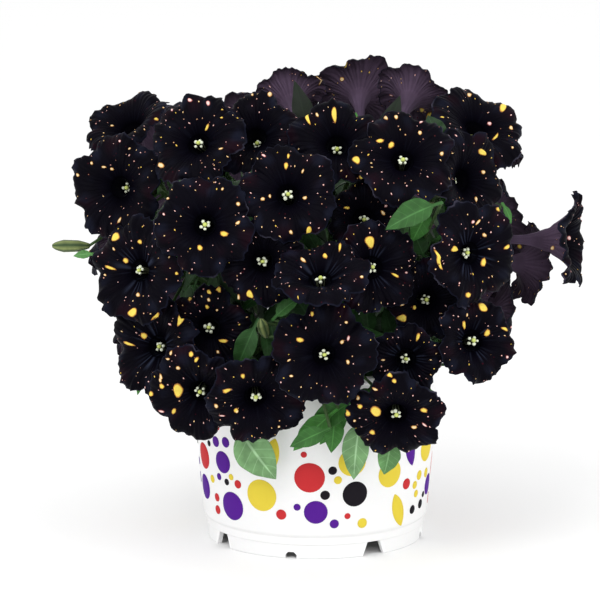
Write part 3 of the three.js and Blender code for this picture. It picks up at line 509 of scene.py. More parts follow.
# and along the main stems, as if each of them were a flower stalk
for stem in stems:
    ahead, right = unit(stem["path"][-1] - stem["path"][1]), sideways(stem["turn"])
    spine = {"line": stem["path"], "bloom": {"number": stem["number"], "axis": ahead, "right": right,
                                             "upward": np.cross(ahead, right)}}
    for share in moreLeaves["stemShares"]:
        for spin in moreLeaves["stemSpins"]:
            growLeaf(stem, spine, share, "more", moreLeaves["lengths"], moreLeaves["front"],
                     spin + 9 * share)
print("more leaves:", [len(stem["more"]) for stem in stems])


# the mesh of a piece: closed skins with a colour for each point, a place on its petal or blade for
# each point, and a material number for each skin
class Skins:
    def __init__(self):
        self.points, self.colours, self.places, self.quads, self.triangles = [], [], [], [], []
        self.quadSlots, self.triangleSlots, self.count = [], [], 0

    # a skin's faces are turned outward by the sign of the volume inside it
    def add(self, points, faces, colour, slot=0, places=None):
        quads, triangles = faces
        points = points.reshape(-1, 3)
        flat = np.concatenate([quads[:, :3], quads[:, [0, 2, 3]], triangles])
        a, b, c = (points[flat[:, k]] - points.mean(axis=0) for k in range(3))
        if np.einsum("ij,ij->", a, np.cross(b, c)) < 0:
            quads, triangles = quads[:, ::-1], triangles[:, ::-1]
        self.points.append(points)
        self.colours.append(np.broadcast_to(colour, (len(points), 4)))
        self.places.append(np.zeros((len(points), 2)) if places is None else places.reshape(-1, 2))
        self.quads.append(quads + self.count)
        self.triangles.append(triangles + self.count)
        self.quadSlots.append(np.full(len(quads), slot))
        self.triangleSlots.append(np.full(len(triangles), slot))
        self.count += len(points)

    # the whole mesh: all points, then the quads and triangles by their corners, and what each one carries
    def build(self, name, materials):
        points = np.concatenate(self.points) * mm
        quads, triangles = np.concatenate(self.quads), np.concatenate(self.triangles)
        corners = np.concatenate([quads.ravel(), triangles.ravel()])
        totals = np.concatenate([np.full(len(quads), 4), np.full(len(triangles), 3)])
        mesh = bpy.data.meshes.new(name)
        mesh.vertices.add(len(points))
        mesh.vertices.foreach_set("co", points.ravel())
        mesh.loops.add(len(corners))
        mesh.loops.foreach_set("vertex_index", corners.astype(np.int32))
        mesh.polygons.add(len(totals))
        mesh.polygons.foreach_set("loop_start", (np.cumsum(totals) - totals).astype(np.int32))
        mesh.polygons.foreach_set("loop_total", totals.astype(np.int32))
        slots = np.concatenate(self.quadSlots + self.triangleSlots)
        mesh.polygons.foreach_set("material_index", slots.astype(np.int32))
        mesh.polygons.foreach_set("use_smooth", np.ones(len(totals), dtype=bool))
        mesh.update(calc_edges=True)
        tint = mesh.color_attributes.new("tint", "FLOAT_COLOR", "POINT")
        tint.data.foreach_set("color", np.concatenate(self.colours).ravel())
        places = np.concatenate(self.places)[corners]
        # where a face spans the seam of the angle, its low corners get a whole turn more
        highs = np.concatenate([np.repeat(places[:4 * len(quads), 0].reshape(-1, 4).max(axis=1), 4),
                                np.repeat(places[4 * len(quads):, 0].reshape(-1, 3).max(axis=1), 3)])
        places[:, 0] += (highs - places[:, 0] > 0.5) * 1.0
        mesh.uv_layers.new(name="place").uv.foreach_set("vector", places.ravel())
        for material in materials:
            mesh.materials.append(material)
        piece = bpy.data.objects.new(name, mesh)
        bpy.context.scene.collection.objects.link(piece)
        return piece


# the faces of a closed skin over rings of points, with a pole beyond the first ring and the last
def skinFaces(rings, sides):
    start = np.arange(rings - 1)[:, None] * sides
    here = np.arange(sides)
    there = (here + 1) % sides
    quads = np.stack([start + here, start + there, start + sides + there, start + sides + here], axis=-1)
    top = (rings - 1) * sides
    poles = [np.stack([there, here, np.full(sides, rings * sides)], axis=1),
             np.stack([top + here, top + there, np.full(sides, rings * sides + 1)], axis=1)]
    return quads.reshape(-1, 4), np.concatenate(poles)


# colours are red, green, blue and an alpha of 1
def rgb(red, green, blue):
    return np.array([red, green, blue, 1.0])


# from a at a share of 0 to b at 1
def blend(a, b, share):
    return a + (b - a) * np.asarray(share)[..., None]


# rises smoothly from 0 at low to 1 at high
def smooth(low, high, value):
    share = np.clip((value - low) / (high - low), 0, 1)
    return share * share * (3 - 2 * share)


# the fine form of a limb: ruffles that grow toward the rim, a few creases, a groove along each lobe's
# midrib and each seam between lobes, fine radial veins, and a ragged rim that curls back in places
petal = {
    "sides": 120, "backSides": 72, "ruffle": 1.2, "ruffles": 15, "crimp": 0.40, "crimps": 37,
    "crease": 1.2, "creases": 6, "creaseWidth": 2.3, "midrib": 0.6, "midribWidth": 1.3, "seam": 0.8,
    "seamWidth": 1.6, "veins": 0.09, "veinCount": 30, "curl": 1.7, "lumps": 0.026, "nicks": 0.016,
    "wall": 0.5, "flare": 0.45, "floor": -18.0, "floorRadius": 1.3, "ribs": 10,
    # the bluish colour beside the darkest one is a painted sheen
    "dark": rgb(0.0022, 0.0018, 0.0040), "paintedSheen": rgb(0.0070, 0.0080, 0.0165),
    # the rim colour is a painted highlight, with some of the paler under face in it
    "edge": rgb(0.062, 0.058, 0.086), "wine": rgb(0.0085, 0.0028, 0.0060),
    "back": rgb(0.075, 0.050, 0.082), "tube": rgb(0.080, 0.055, 0.092),
    # the throat's colour is partly its own dark and partly painted shade
    "tubeFoot": rgb(0.080, 0.095, 0.045), "throat": rgb(0.0012, 0.0010, 0.0024),
    "ray": rgb(0.040, 0.050, 0.085),
}
# how strongly pale rays show in a throat, by bloom number; the others get a trace
rays = {3: 0.4, 4: 0.4, 5: 0.15, 6: 0.6, 7: 0.5, 8: 0.5, 13: 0.5, 15: 0.35}
rayTrace = 0.04


# how strongly the rim curls back at an angle, from 0 to 1
def curlShare(bloom, angle):
    n = bloom["number"]
    return smooth(-0.2, 1, np.sin(4 * angle + 3.1 * n + 1.1 * np.sin(3 * angle + 2 * n)))


# the limb with its fine form: each wave's phase is a multiple of the bloom's number, so that no two are
# alike, and the grooves are bells of the distance from the midrib or the seam
def fineLimb(bloom, angle, t):
    distance, rise = limb(bloom, angle, t)
    n = bloom["number"]
    size = bloom["radius"] / corolla["usualRadius"]
    fromMidrib = np.abs(np.mod(angle + math.pi / 5, 2 * math.pi / 5) - math.pi / 5)
    fromSeam = math.pi / 5 - fromMidrib
    uneven = 0.9 + 0.6 * np.sin(2 * angle + 1.9 * n) * np.sin(3 * angle + 0.7 * n)
    folds = np.sin(petal["ruffles"] * angle + 1.3 * n + 1.5 * np.sin(3 * angle + n))
    ruffle = petal["ruffle"] * t**3 * uneven * folds
    crimp = petal["crimp"] * t**6 * np.sin(petal["crimps"] * angle + 2.9 * n)
    middle = np.maximum(0, np.sin(math.pi * t))
    midrib = petal["midrib"] * np.exp(-(fromMidrib * distance / petal["midribWidth"]) ** 2) * middle**0.8
    seam = petal["seam"] * np.exp(-(fromSeam * distance / petal["seamWidth"]) ** 2) * middle**0.6
    veins = petal["veins"] * np.cos(petal["veinCount"] * angle) * middle
    creases = 0.0
    for i in range(petal["creases"]):
        away = np.abs(np.mod(angle - golden * (i + 1.7 * n) + math.pi, 2 * math.pi) - math.pi)
        height = petal["crease"] * math.sin(3.1 * i + 1.3 * n)
        creases = creases + height * np.exp(-(away * distance / petal["creaseWidth"]) ** 2) * t**1.5
    curl = curlShare(bloom, angle) * t**10
    lumps = petal["lumps"] * np.sin(9 * angle + 1.7 * n + np.sin(4 * angle))
    nicks = np.sin(23 * angle + 2.3 * n + 2 * np.sin(5 * angle)) + 0.8 * np.sin(37 * angle + 0.9 * n)
    ragged = 1 - 0.02 * curl + t**4 * (lumps + petal["nicks"] * nicks)
    form = ruffle + crimp - midrib - seam + veins + creases - petal["curl"] * curl
    return distance * ragged, rise + size * form


# the outer face lies under the inner one by the wall, and flares out from it at the throat
def outerFace(distance, rise, t):
    return distance + petal["flare"] * (1 - t), rise - petal["wall"] * (0.5 + 0.5 * t)


# a point over the limb's inner face, or under its outer face
def bloomPoint(bloom, angle, t, lift=0.0, under=False):
    distance, rise = fineLimb(bloom, angle, t)
    if under:
        distance, rise = outerFace(distance, rise, t)
        return onBloom(bloom, angle, distance, rise - lift)
    return onBloom(bloom, angle, distance, rise + lift)


# the corolla as one skin: up the outside of the tube, out under the limb, over its rim, back in over
# the limb, and down inside the tube to a floor
def corollaSkin(bloom):
    n = bloom["number"]
    angle = circleAngles(petal["sides"] if n < len(frontBlooms) else petal["backSides"])
    throat = corolla["throatRadius"] * min(1, bloom["radius"] / 20)
    base, waist = -corolla["tubeLength"], -corolla["waistDepth"]
    rings, colours, places = [], [], []

    # a ring round the bloom's axis, with its colour and its share of the way out
    def keep(distance, rise, colour, share):
        distance, rise = np.broadcast_to(distance, angle.shape), np.broadcast_to(rise, angle.shape)
        rings.append(onBloom(bloom, angle, distance, rise))
        colours.append(np.broadcast_to(colour, (len(angle), 4)))
        places.append(np.stack([angle / (2 * math.pi), np.full(len(angle), share)], axis=1))

    # the limb at the share t, drawn in to the throat of a small bloom
    def drawnLimb(t):
        distance, rise = fineLimb(bloom, angle, t)
        return throat + (distance - throat) * smooth(0, 0.12, t), rise

    ribs = np.cos(petal["ribs"] * angle)
    for z in np.linspace(base, waist, 6):
        up = (z - base) / (waist - base)
        wide = corolla["baseRadius"] + (corolla["waistRadius"] - corolla["baseRadius"]) * up
        keep(wide + 0.06 * ribs, z, blend(petal["tubeFoot"], petal["tube"], smooth(0, 0.8, up)), -1)
    for up in np.linspace(0.12, 0.92, 7):
        z = waist - (waist + corolla["wall"] / 2) * up
        wide = corolla["waistRadius"] + (throat + petal["flare"] - corolla["waistRadius"]) * up**1.7
        keep(wide + 0.12 * ribs, z, blend(petal["tube"], petal["back"], up), -1)
    streak = 0.5 + 0.5 * np.cos(25 * angle + 0.7 * np.sin(7 * angle + n))
    for t in np.concatenate([[0.02, 0.06], np.linspace(0.12, 0.96, 11)]):
        grey = (0.86 + 0.28 * streak[:, None]) * (1.1 - 0.5 * t * t)
        keep(*outerFace(*drawnLimb(t), t), petal["back"] * grey * [1, 1, 1, 0] + [0, 0, 0, 1], t)
    # the rim rings are painted: a bluish painted sheen that turns to a paler painted highlight where the
    # rim curls back, partly the paler under face that shows there
    lit = curlShare(bloom, angle + 0.3) * smooth(-0.2, 1, np.sin(7 * angle + 2.7 * n))
    for t, depth, share in ((1.0, 0.9, 0.5), (1.012, 0.45, 1), (1.0, 0, 0.6)):
        distance, rise = fineLimb(bloom, angle, t)
        keep(distance, rise - petal["wall"] * depth, blend(petal["paintedSheen"], petal["edge"], share * lit), t)
    strength = rays.get(n, rayTrace)
    ray = np.maximum(0, np.cos(20 * angle + 3 * np.sin(5 * angle + n))) ** 3
    ray = strength * ray * np.sin(1.5 * angle + 1.3 * n) ** 2
    for t in np.concatenate([np.linspace(0.97, 0.1, 17), [0.05, 0.0]]):
        # painted sheen: bluish patches that grow toward the rim, at angles set by two waves
        sheen = np.sin(3 * angle + 2.1 * n + 5 * t) * np.sin(7 * angle + 1.1 * n - 4 * t)
        stain = np.sin(2 * angle + 4.3 * n + 3 * t) * np.sin(5 * angle + 2.9 * n)
        shade = blend(petal["dark"], petal["wine"], smooth(0.2, 1, stain) * smooth(0.3, 0.9, t))
        shade = blend(shade, petal["paintedSheen"], smooth(0.25, 1, t) * smooth(0.1, 1, sheen))
        # painted shade: the limb darkens gradually into the throat
        shade = blend(shade, petal["throat"], 1 - smooth(0, 0.25, t))
        reach = smooth(0.0, 0.08, t) * (1 - smooth(0.2, 0.45, t))
        keep(*drawnLimb(t), blend(shade, petal["ray"], ray * reach), t)
    # inside, the tube is painted darker than the limb: partly its own dark colour, partly painted shade
    for down in np.linspace(0.12, 1, 7):
        wide = petal["floorRadius"] + (throat - petal["floorRadius"]) * (1 - down) ** 1.8
        keep(wide, petal["floor"] * down, blend(petal["throat"], petal["ray"], 0.5 * ray * (1 - down)), -1)
    poles = onBloom(bloom, np.zeros(2), np.zeros(2), np.array([base, petal["floor"]]))
    points = np.concatenate(rings + [poles])
    colours = np.concatenate(colours + [np.stack([petal["tubeFoot"], petal["throat"]])])
    places = np.concatenate(places + [np.array([[0, -1], [0, -1.0]])])
    return points, skinFaces(len(rings), len(angle)), colours, places


# rings are shares of a spot's radius and lifts their heights over the petal; a spot is a large one from
# this radius on; edges names the darker colour round each core
spotShape = {
    "small": {"sides": 8, "rings": [0.70, 1.0, 1.3, 1.3], "lifts": [0.30, 0.24, 0.10, -0.3]},
    "large": {"sides": 16, "rings": [0.3, 0.6, 0.82, 0.97, 1.12, 1.12],
              "lifts": [0.46, 0.46, 0.43, 0.34, 0.12, -0.5]},
    "top": 0.40, "depth": -0.35, "largeFrom": 1.7, "shown": {"core": 0.78, "cream": 0.70, "pink": 0.72},
    "edges": {"core": "rust", "cream": "rust", "pink": "rose"},
}
spotPaint = {
    "core": rgb(0.830, 0.640, 0.095), "cream": rgb(0.860, 0.660, 0.370), "pink": rgb(0.850, 0.600, 0.560),
    "rust": rgb(0.560, 0.260, 0.030), "rose": rgb(0.420, 0.110, 0.100), "halo": rgb(0.050, 0.006, 0.010),
}


# a painted spot: a low blister on the limb, with its core's colour, a darker edge and a halo
def addSpot(skins, bloom, angle, t, shape, colour, under):
    radius = math.sqrt(abs(np.linalg.det(shape)))
    look = spotShape["large" if radius > spotShape["largeFrom"] else "small"]
    sides = look["sides"]
    around = circleAngles(sides)
    uneven = 1 + 0.12 * np.sin(2 * around + 5 * angle) + 0.08 * np.sin(3 * around + 9 * angle)
    outline = circle(sides) * uneven[:, None]
    local = np.concatenate([outline * ring for ring in look["rings"]] + [np.zeros((2, 2))]) @ shape.T
    lifts = np.concatenate([np.repeat(look["lifts"], sides), [spotShape["top"], spotShape["depth"]]])
    distance = limb(bloom, angle, t)[0]
    angles = angle + local[:, 1] / distance
    full = limb(bloom, angles, 1.0)[0]
    shares = (distance + local[:, 0] - corolla["throatRadius"]) / (full - corolla["throatRadius"])
    points = bloomPoint(bloom, angles, np.clip(shares, 0.1, 0.995), lifts, under)
    core, edge = spotPaint[colour], spotPaint[spotShape["edges"][colour]]
    tints = [core] * (len(look["rings"]) - 3) + [edge, spotPaint["halo"], petal["dark"]]
    tints = np.concatenate([np.repeat(tints, sides, axis=0), [core, petal["dark"]]])
    skins.add(points, skinFaces(len(look["rings"]), sides), tints, slot=1)


# stretches the unit circle to these two radii, then turns it
def spotMatrix(long, wide, turn):
    return np.array([[math.cos(turn) * long, -math.sin(turn) * wide],
                     [math.sin(turn) * long, math.cos(turn) * wide]])


# spots that stand out in the photograph, by colour: across, down, width, height and turn in its pixels
shownSpots = {
    "core": [
        (207, 128, 3, 9, 20), (144, 143, 7, 5), (297, 95, 11, 6, 10), (307, 118, 6, 10, 10),
        (264, 134, 6, 5), (286, 166, 5, 7), (432, 118, 12, 14), (422, 110), (380, 141, 6, 6),
        (391, 145, 5, 9, 20), (356, 160, 9, 8), (362, 178, 6, 6), (370, 242, 12, 14),
        (340, 247, 3, 9, 10), (325, 256, 5, 6), (309, 234, 8, 10), (224, 234, 9, 6), (503, 107, 8, 10),
        (496, 137, 3, 9, 15), (482, 152, 11, 7, 10), (455, 249, 9, 6), (438, 260, 5, 22, 8),
        (507, 247, 6, 5), (520, 247), (482, 262, 6, 9, 10), (436, 301, 8, 4), (483, 307, 9, 11),
        (468, 295, 6, 6), (464, 325, 4, 9), (487, 333, 7, 7), (505, 329, 9, 3, 20), (402, 318, 10, 10),
        (415, 307), (418, 337, 4, 9, 20), (376, 411, 13, 12), (348, 413, 6, 6), (360, 406, 6, 5),
        (389, 374, 6, 6), (394, 381), (424, 410, 8, 5), (372, 432, 6, 5), (178, 390, 13, 12),
        (150, 393, 6, 6), (162, 386, 6, 5), (191, 354, 6, 6), (196, 360), (174, 411, 6, 5),
        (223, 341, 8, 5), (227, 390, 7, 6), (250, 393, 4, 7), (243, 376), (236, 410), (182, 318, 10, 9),
        (219, 289, 6, 6), (209, 292), (250, 294, 9, 8), (190, 298), (133, 312, 11, 9), (145, 336, 8, 7),
        (158, 317, 4, 9, 30), (129, 344, 14, 3, 20), (115, 237, 11, 8), (127, 261, 6, 6), (140, 242),
        (110, 268, 14, 3, 20), (300, 340, 9, 5), (312, 314, 3, 7), (317, 357), (345, 66, 5, 9, 5),
        (352, 95, 9, 6), (334, 115, 6, 19), (347, 208, 7, 3), (395, 275, 9, 3, 30), (498, 209, 3, 5),
        (288, 156, 3, 5), (200, 248, 6, 6), (207, 307, 4, 5),
    ],
    "cream": [
        (161, 166, 9, 6, 15), (78, 175, 4, 4), (104, 167, 4, 4), (112, 169, 4, 4), (270, 94, 6, 6),
        (305, 198), (263, 199), (386, 118), (396, 117), (420, 133), (238, 223), (238, 204), (469, 95),
        (511, 128), (483, 172), (468, 182, 3, 8), (511, 191), (476, 199), (484, 235), (478, 222),
        (358, 398), (375, 389), (414, 427, 6, 5), (161, 377), (178, 368), (291, 376, 5, 3), (216, 406),
        (236, 298, 4, 8), (138, 295), (120, 220), (342, 342), (348, 362), (553, 248),
        (322, 79, 3, 8, -10), (342, 79), (304, 107, 3, 4), (362, 277, 5, 3), (383, 213, 4, 7, -30),
        (164, 108, 3, 3), (130, 149, 3, 3), (280, 97, 5, 4), (271, 196, 3, 5), (166, 197, 3, 4),
        (105, 275, 3, 3), (209, 300, 4, 5), (217, 310, 3, 3), (179, 289, 3, 4), (303, 260, 9, 4, 35),
        (291, 232, 4, 6), (317, 367, 3, 3), (289, 360, 4, 3), (242, 397), (237, 411, 4, 5),
        (218, 352, 4, 4), (160, 380, 4, 5), (171, 353, 3, 6, 20), (168, 359, 4, 3),
    ],
    "pink": [
        (190, 100), (208, 103, 5, 6), (411, 108, 3, 8), (489, 124), (569, 238), (172, 108, 3, 3),
        (120, 141, 3, 3), (191, 282, 3, 3),
    ],
}
# the last values of a spot whose row leaves them out
usualSpot = (5, 5, 0)
# the seeded spots of every bloom: how many of each kind a whole bloom has, and their radii; the outer
# faces have fewer, and only from the numbered bloom on, where the front shows them
strewn = {
    "seed": 11, "counts": {"large": 1, "medium": 2, "small": 30}, "under": [0, 3, 16], "underFrom": 25,
    "radii": {"large": (1.1, 2.0), "medium": (0.5, 0.8), "small": (0.16, 0.38)}, "apart": 2.4,
}
# how far, in pixels, a spot may be from the nearest point of a limb, and from the limb's box
spotReach = {"point": 2.5, "box": 3}


# each spot of the photograph goes to the face of a limb that is the nearest to the viewer at its place
def placeShownSpots():
    turns, steps = np.linspace(0, 2 * math.pi, 361)[:-1], np.linspace(0.16, 0.96, 61)
    angles, shares = np.meshgrid(turns, steps, indexing="ij")
    placed = {bloom["number"]: [] for bloom in blooms}
    sides = []
    for bloom in blooms[:len(frontBlooms)]:
        for under in (False, True):
            points = bloomPoint(bloom, angles, shares, under=under)
            picture = onImage(points)
            low, high = picture.min(axis=(0, 1)), picture.max(axis=(0, 1))
            sides.append((bloom, under, points, picture, low - spotReach["box"], high + spotReach["box"]))
    lost = []
    spots = [row + usualSpot[len(row) - 2:] + (colour,)
             for colour, rows in shownSpots.items() for row in rows]
    for spot in spots:
        best = None
        for bloom, under, points, picture, low, high in sides:
            if np.any(spot[:2] < low) or np.any(spot[:2] > high):
                continue
            miss = np.linalg.norm(picture - spot[:2], axis=-1)
            i, k = np.unravel_index(np.argmin(miss), miss.shape)
            outward = np.cross(points[(i + 1) % len(turns), k] - points[i, k],
                               points[i, min(k + 1, len(steps) - 1)] - points[i, max(k - 1, 0)])
            near = points[i, k] @ towardViewer
            seenSide = (outward @ towardViewer > 0) == under
            if miss[i, k] < spotReach["point"] and seenSide and (best is None or near > best[0]):
                best = (near, bloom["number"], angles[i, k], shares[i, k], under)
        if best is None:
            lost.append(spot[:2])
        else:
            placed[best[1]].append(best[2:] + (spot,))
    return placed, lost


# a spot takes the shape that gives its picture the photograph's size; where the limb is seen edge-on
# its length is kept short
def addShownSpot(skins, bloom, angle, t, under, spot):
    wide, high, turn, colour = spot[2:]
    step, leastSize = 0.02, 0.75
    distance = limb(bloom, angle, t)[0]
    full = limb(bloom, angle, 1.0)[0] - corolla["throatRadius"]
    spots = onImage(bloomPoint(bloom, np.array([angle, angle, angle + step]), np.array([t, t + step, t])))
    outward, sideward = (spots[1] - spots[0]) / (step * full), (spots[2] - spots[0]) / (step * distance)
    left, sizes, right = np.linalg.svd(np.stack([outward, sideward], axis=1))
    inverse = right.T @ np.diag(1 / np.maximum(sizes, leastSize)) @ left.T
    shape = inverse @ spotMatrix(wide / 2, high / 2, math.radians(turn)) * spotShape["shown"][colour]
    addSpot(skins, bloom, angle, t, shape, colour, under)


# seeded spots on a limb's inner face, clear of those that are shown there, or on its outer face
def addStrewnSpots(skins, bloom, shown, random, under):
    kept = [bloomPoint(bloom, angle, t, under=side) for angle, t, side, spot in shown]
    counts = strewn["under"] if under else list(strewn["counts"].values())
    if shown:
        counts = [0] + counts[1:]
    for (kind, (low, high)), count in zip(strewn["radii"].items(), counts):
        for i in range(count):
            angle, t = random.uniform(0, 2 * math.pi), 0.2 + 0.75 * math.sqrt(random.uniform(0, 1))
            size, stretch = random.uniform(low, high), random.uniform(1, 1.8)
            turn = random.normal(0, 0.5)
            yellow = kind == "large" or random.uniform() < 0.15
            colour = "core" if yellow else ("cream", "pink", "pink")[i % 3]
            place = bloomPoint(bloom, np.array(angle), np.array(t), under=under)
            if all(np.linalg.norm(place - other) >= strewn["apart"] + size for other in kept):
                kept.append(place)
                shape = spotMatrix(size * stretch, size / stretch**0.5, turn)
                addSpot(skins, bloom, angle, t, shape, colour, under)


# sunk is how far the heads of a deep throat lie below the usual height, by bloom number
stamens = {
    "count": 5, "radius": 0.95, "reach": 2.0, "rise": 0.6, "filament": 0.28, "root": -17.0,
    "stigma": 1.15, "stigmaReach": 0.3, "stigmaRise": 0.9, "pollen": rgb(0.720, 0.760, 0.600),
    "stigmaTint": rgb(0.560, 0.640, 0.160), "thread": rgb(0.070, 0.080, 0.045),
    "sunk": {17: 7, 19: 7, 21: 5, 22: 7, 23: 7, 24: 7, 6: 2, 7: 3, 13: 1.5, 18: 2, 20: 3},
}


# a small ball of few faces
def ballSkin(centre, radius, stretch, sides=8, rings=5):
    tilt = math.pi * (np.arange(rings) + 1) / (rings + 1)
    level = np.sin(tilt)[:, None, None] * circle(sides)
    height = np.broadcast_to((-np.cos(tilt) * stretch)[:, None, None], (rings, sides, 1))
    ends = np.array([[0, 0, -stretch], [0, 0, stretch]])
    points = np.concatenate([np.concatenate([level, height], axis=2).reshape(-1, 3), ends])
    return centre + radius * points, skinFaces(rings, sides)


# a tube along a path, closed at both ends, with a side that never lies along the path
def tubeSkin(path, radii, sides):
    end = 0.3
    path = np.asarray(path, dtype=float)
    radii = np.broadcast_to(np.asarray(radii, dtype=float), len(path))
    ahead = np.gradient(path, axis=0)
    ahead = ahead / np.linalg.norm(ahead, axis=1)[:, None]
    choices = np.eye(3)
    side = np.cross(ahead, choices[np.argmin(np.abs(ahead @ choices).max(axis=0))])
    side = side / np.linalg.norm(side, axis=1)[:, None]
    out = circle(sides) @ np.stack([side, np.cross(ahead, side)], axis=1)
    rings = path[:, None] + radii[:, None, None] * out
    poles = np.stack([path[0] - ahead[0] * radii[0] * end, path[-1] + ahead[-1] * radii[-1] * end])
    return np.concatenate([rings.reshape(-1, 3), poles]), skinFaces(len(path), sides)


# stamens in a ring round one stigma, each a curved thread from the floor of the tube with its head
def addStamens(skins, bloom, random):
    for i in range(stamens["count"] + 1):
        stigma = i == stamens["count"]
        angle = 2 * math.pi * i / stamens["count"] + random.uniform(-0.3, 0.3)
        reach = stamens["stigmaReach"] if stigma else stamens["reach"] * random.uniform(0.75, 1.15)
        rise = stamens["rise"] + (stamens["stigmaRise"] if stigma else random.uniform(-0.9, 0.7))
        rise = rise - stamens["sunk"].get(bloom["number"], 0)
        root, head = onBloom(bloom, angle, [reach * 0.3, reach], [stamens["root"], rise])
        path = cubic(root, root + bloom["axis"] * 6, head - bloom["axis"] * 5, head, np.linspace(0, 1, 6))
        skins.add(*tubeSkin(path, stamens["filament"], 5), stamens["thread"], slot=1)
        radius = stamens["stigma"] if stigma else stamens["radius"] * random.uniform(0.8, 1.1)
        tint = stamens["stigmaTint"] if stigma else stamens["pollen"] * random.uniform(0.85, 1.1)
        skins.add(*ballSkin(head, radius, random.uniform(0.75, 1.1)), tint, slot=1)


# a finish and its nodes: a value that is given to an input is a number, a colour or another node's output
class Finish:
    def __init__(self, name):
        self.material = bpy.data.materials.new(name)
        self.material.use_nodes = True
        self.nodes, self.links = self.material.node_tree.nodes, self.material.node_tree.links

    # an input takes a plain value, or a link from another node's output
    def feed(self, node, inputs):
        for name, value in inputs.items():
            if isinstance(value, bpy.types.NodeSocket):
                self.links.new(value, node.inputs[name])
            else:
                node.inputs[name].default_value = value

    # a new node with its settings and inputs; what it returns is its outputs
    def node(self, kind, inputs, **settings):
        node = self.nodes.new("ShaderNode" + kind)
        for name, value in settings.items():
            setattr(node, name, value)
        self.feed(node, inputs)
        return node.outputs

    def calc(self, operation, a, b=0.0):
        return self.node("Math", {0: a, 1: b}, operation=operation)[0]

    def times(self, a, b):
        return self.calc("MULTIPLY", a, b)

    # a number that rises smoothly from 0 to 1 between two values of the source
    def step(self, source, low, high):
        inputs = {"Value": source, "From Min": low, "From Max": high}
        return self.node("MapRange", inputs, interpolation_type="SMOOTHSTEP")["Result"]

    # the colour a at a share of 0 and b at 1, or b blended over a in another mode
    def mix(self, share, a, b, mode="MIX"):
        return self.node("Mix", {"Factor": share, 6: a, 7: b}, data_type="RGBA", blend_type=mode)[2]

    # the colour that the skin has at each point
    def tint(self):
        return self.node("Attribute", {}, attribute_name="tint")["Color"]

    def split(self, vector):
        return self.node("SeparateXYZ", {"Vector": vector})

    # the place on a petal or blade
    def place(self):
        return self.split(self.node("UVMap", {}, uv_map="place")["UV"])

    # the place in the piece's own space, in metres
    def where(self):
        return self.node("TexCoord", {})["Object"]

    def noise(self, scale, detail, roughness=0.5):
        inputs = {"Vector": self.where(), "Scale": scale, "Detail": detail, "Roughness": roughness}
        return self.node("TexNoise", inputs)

    # a normal that leans with the slope of a height, which is worth a distance in metres
    def bump(self, height, strength, distance):
        return self.node("Bump", {"Height": height, "Strength": strength, "Distance": distance})["Normal"]

    # the inputs of the main shader, which finish the material
    def surface(self, inputs):
        self.feed(self.nodes["Principled BSDF"], inputs)
        return self.material


petalLook = {
    "cell": 3.0, "dotSize": 0.17, "dot": (0.62, 0.34, 0.34, 1), "dotWarm": (0.72, 0.46, 0.20, 1),
    "halo": (0.040, 0.003, 0.008, 1), "roughness": 0.50, "specular": 0.025, "sheen": 0.010,
    "sheenTint": (0.42, 0.48, 0.80, 1), "sheenRoughness": 0.4, "veins": 45, "veinBend": 9.0,
    "veinDepth": 0.00025, "mottle": 0.5,
}


# petals: the skin's own tint, mottled, with fine veins from the place on the petal, and tiny pale dots
# with red halos around random points in space
def makePetalMaterial():
    finish = Finish("darkPetal")
    place, noise = finish.place(), finish.noise(90.0, 3.0)
    mottled = finish.mix(petalLook["mottle"], finish.tint(), noise["Fac"], "OVERLAY")
    inputs = {"Vector": finish.where(), "Scale": 1 / (petalLook["cell"] * mm)}
    cells = finish.node("TexVoronoi", inputs, feature="F1")
    # the radius of a cell's dot grows with the cell's own random number
    chance = finish.split(cells["Color"])
    size = finish.times(finish.calc("POWER", chance["X"], 1.2), petalLook["dotSize"])
    near = finish.calc("DIVIDE", cells["Distance"], finish.calc("MAXIMUM", size, 0.01))
    onLimb = finish.step(place["Y"], 0.14, 0.3)
    haloShare = finish.times(finish.step(near, 1.5, 0.8), onLimb)
    dotShare = finish.times(finish.step(near, 0.85, 0.5), onLimb)
    warm = finish.mix(chance["Y"], petalLook["dot"], petalLook["dotWarm"])
    colour = finish.mix(dotShare, finish.mix(haloShare, mottled, petalLook["halo"]), warm)
    # veins: waves around the petal, bent by the noise
    ring = finish.calc("ADD", finish.times(place["X"], 2 * math.pi * petalLook["veins"]),
                       finish.times(noise["Fac"], petalLook["veinBend"]))
    vein = finish.times(finish.calc("SINE", ring), onLimb)
    # both gleams fade out toward the throat; on the petal's outer face they are full
    inThroat = finish.times(finish.step(place["Y"], 0.55, 0.0), finish.step(place["Y"], -0.9, -0.2))
    gleam = finish.calc("SUBTRACT", 1.0, inThroat)
    return finish.surface({
        "Base Color": colour, "Normal": finish.bump(vein, 0.6, petalLook["veinDepth"]),
        "Roughness": petalLook["roughness"], "Sheen Roughness": petalLook["sheenRoughness"],
        "Specular IOR Level": finish.times(gleam, petalLook["specular"]),
        "Sheen Weight": finish.times(gleam, petalLook["sheen"]), "Sheen Tint": petalLook["sheenTint"]})


# paint of spots and stamens: the tint with a light speckle
def makePaintMaterial():
    finish = Finish("petalPaint")
    colour = finish.mix(0.25, finish.tint(), finish.noise(900.0, 2.0)["Fac"], "OVERLAY")
    return finish.surface({"Base Color": colour, "Roughness": 0.55, "Specular IOR Level": 0.3})


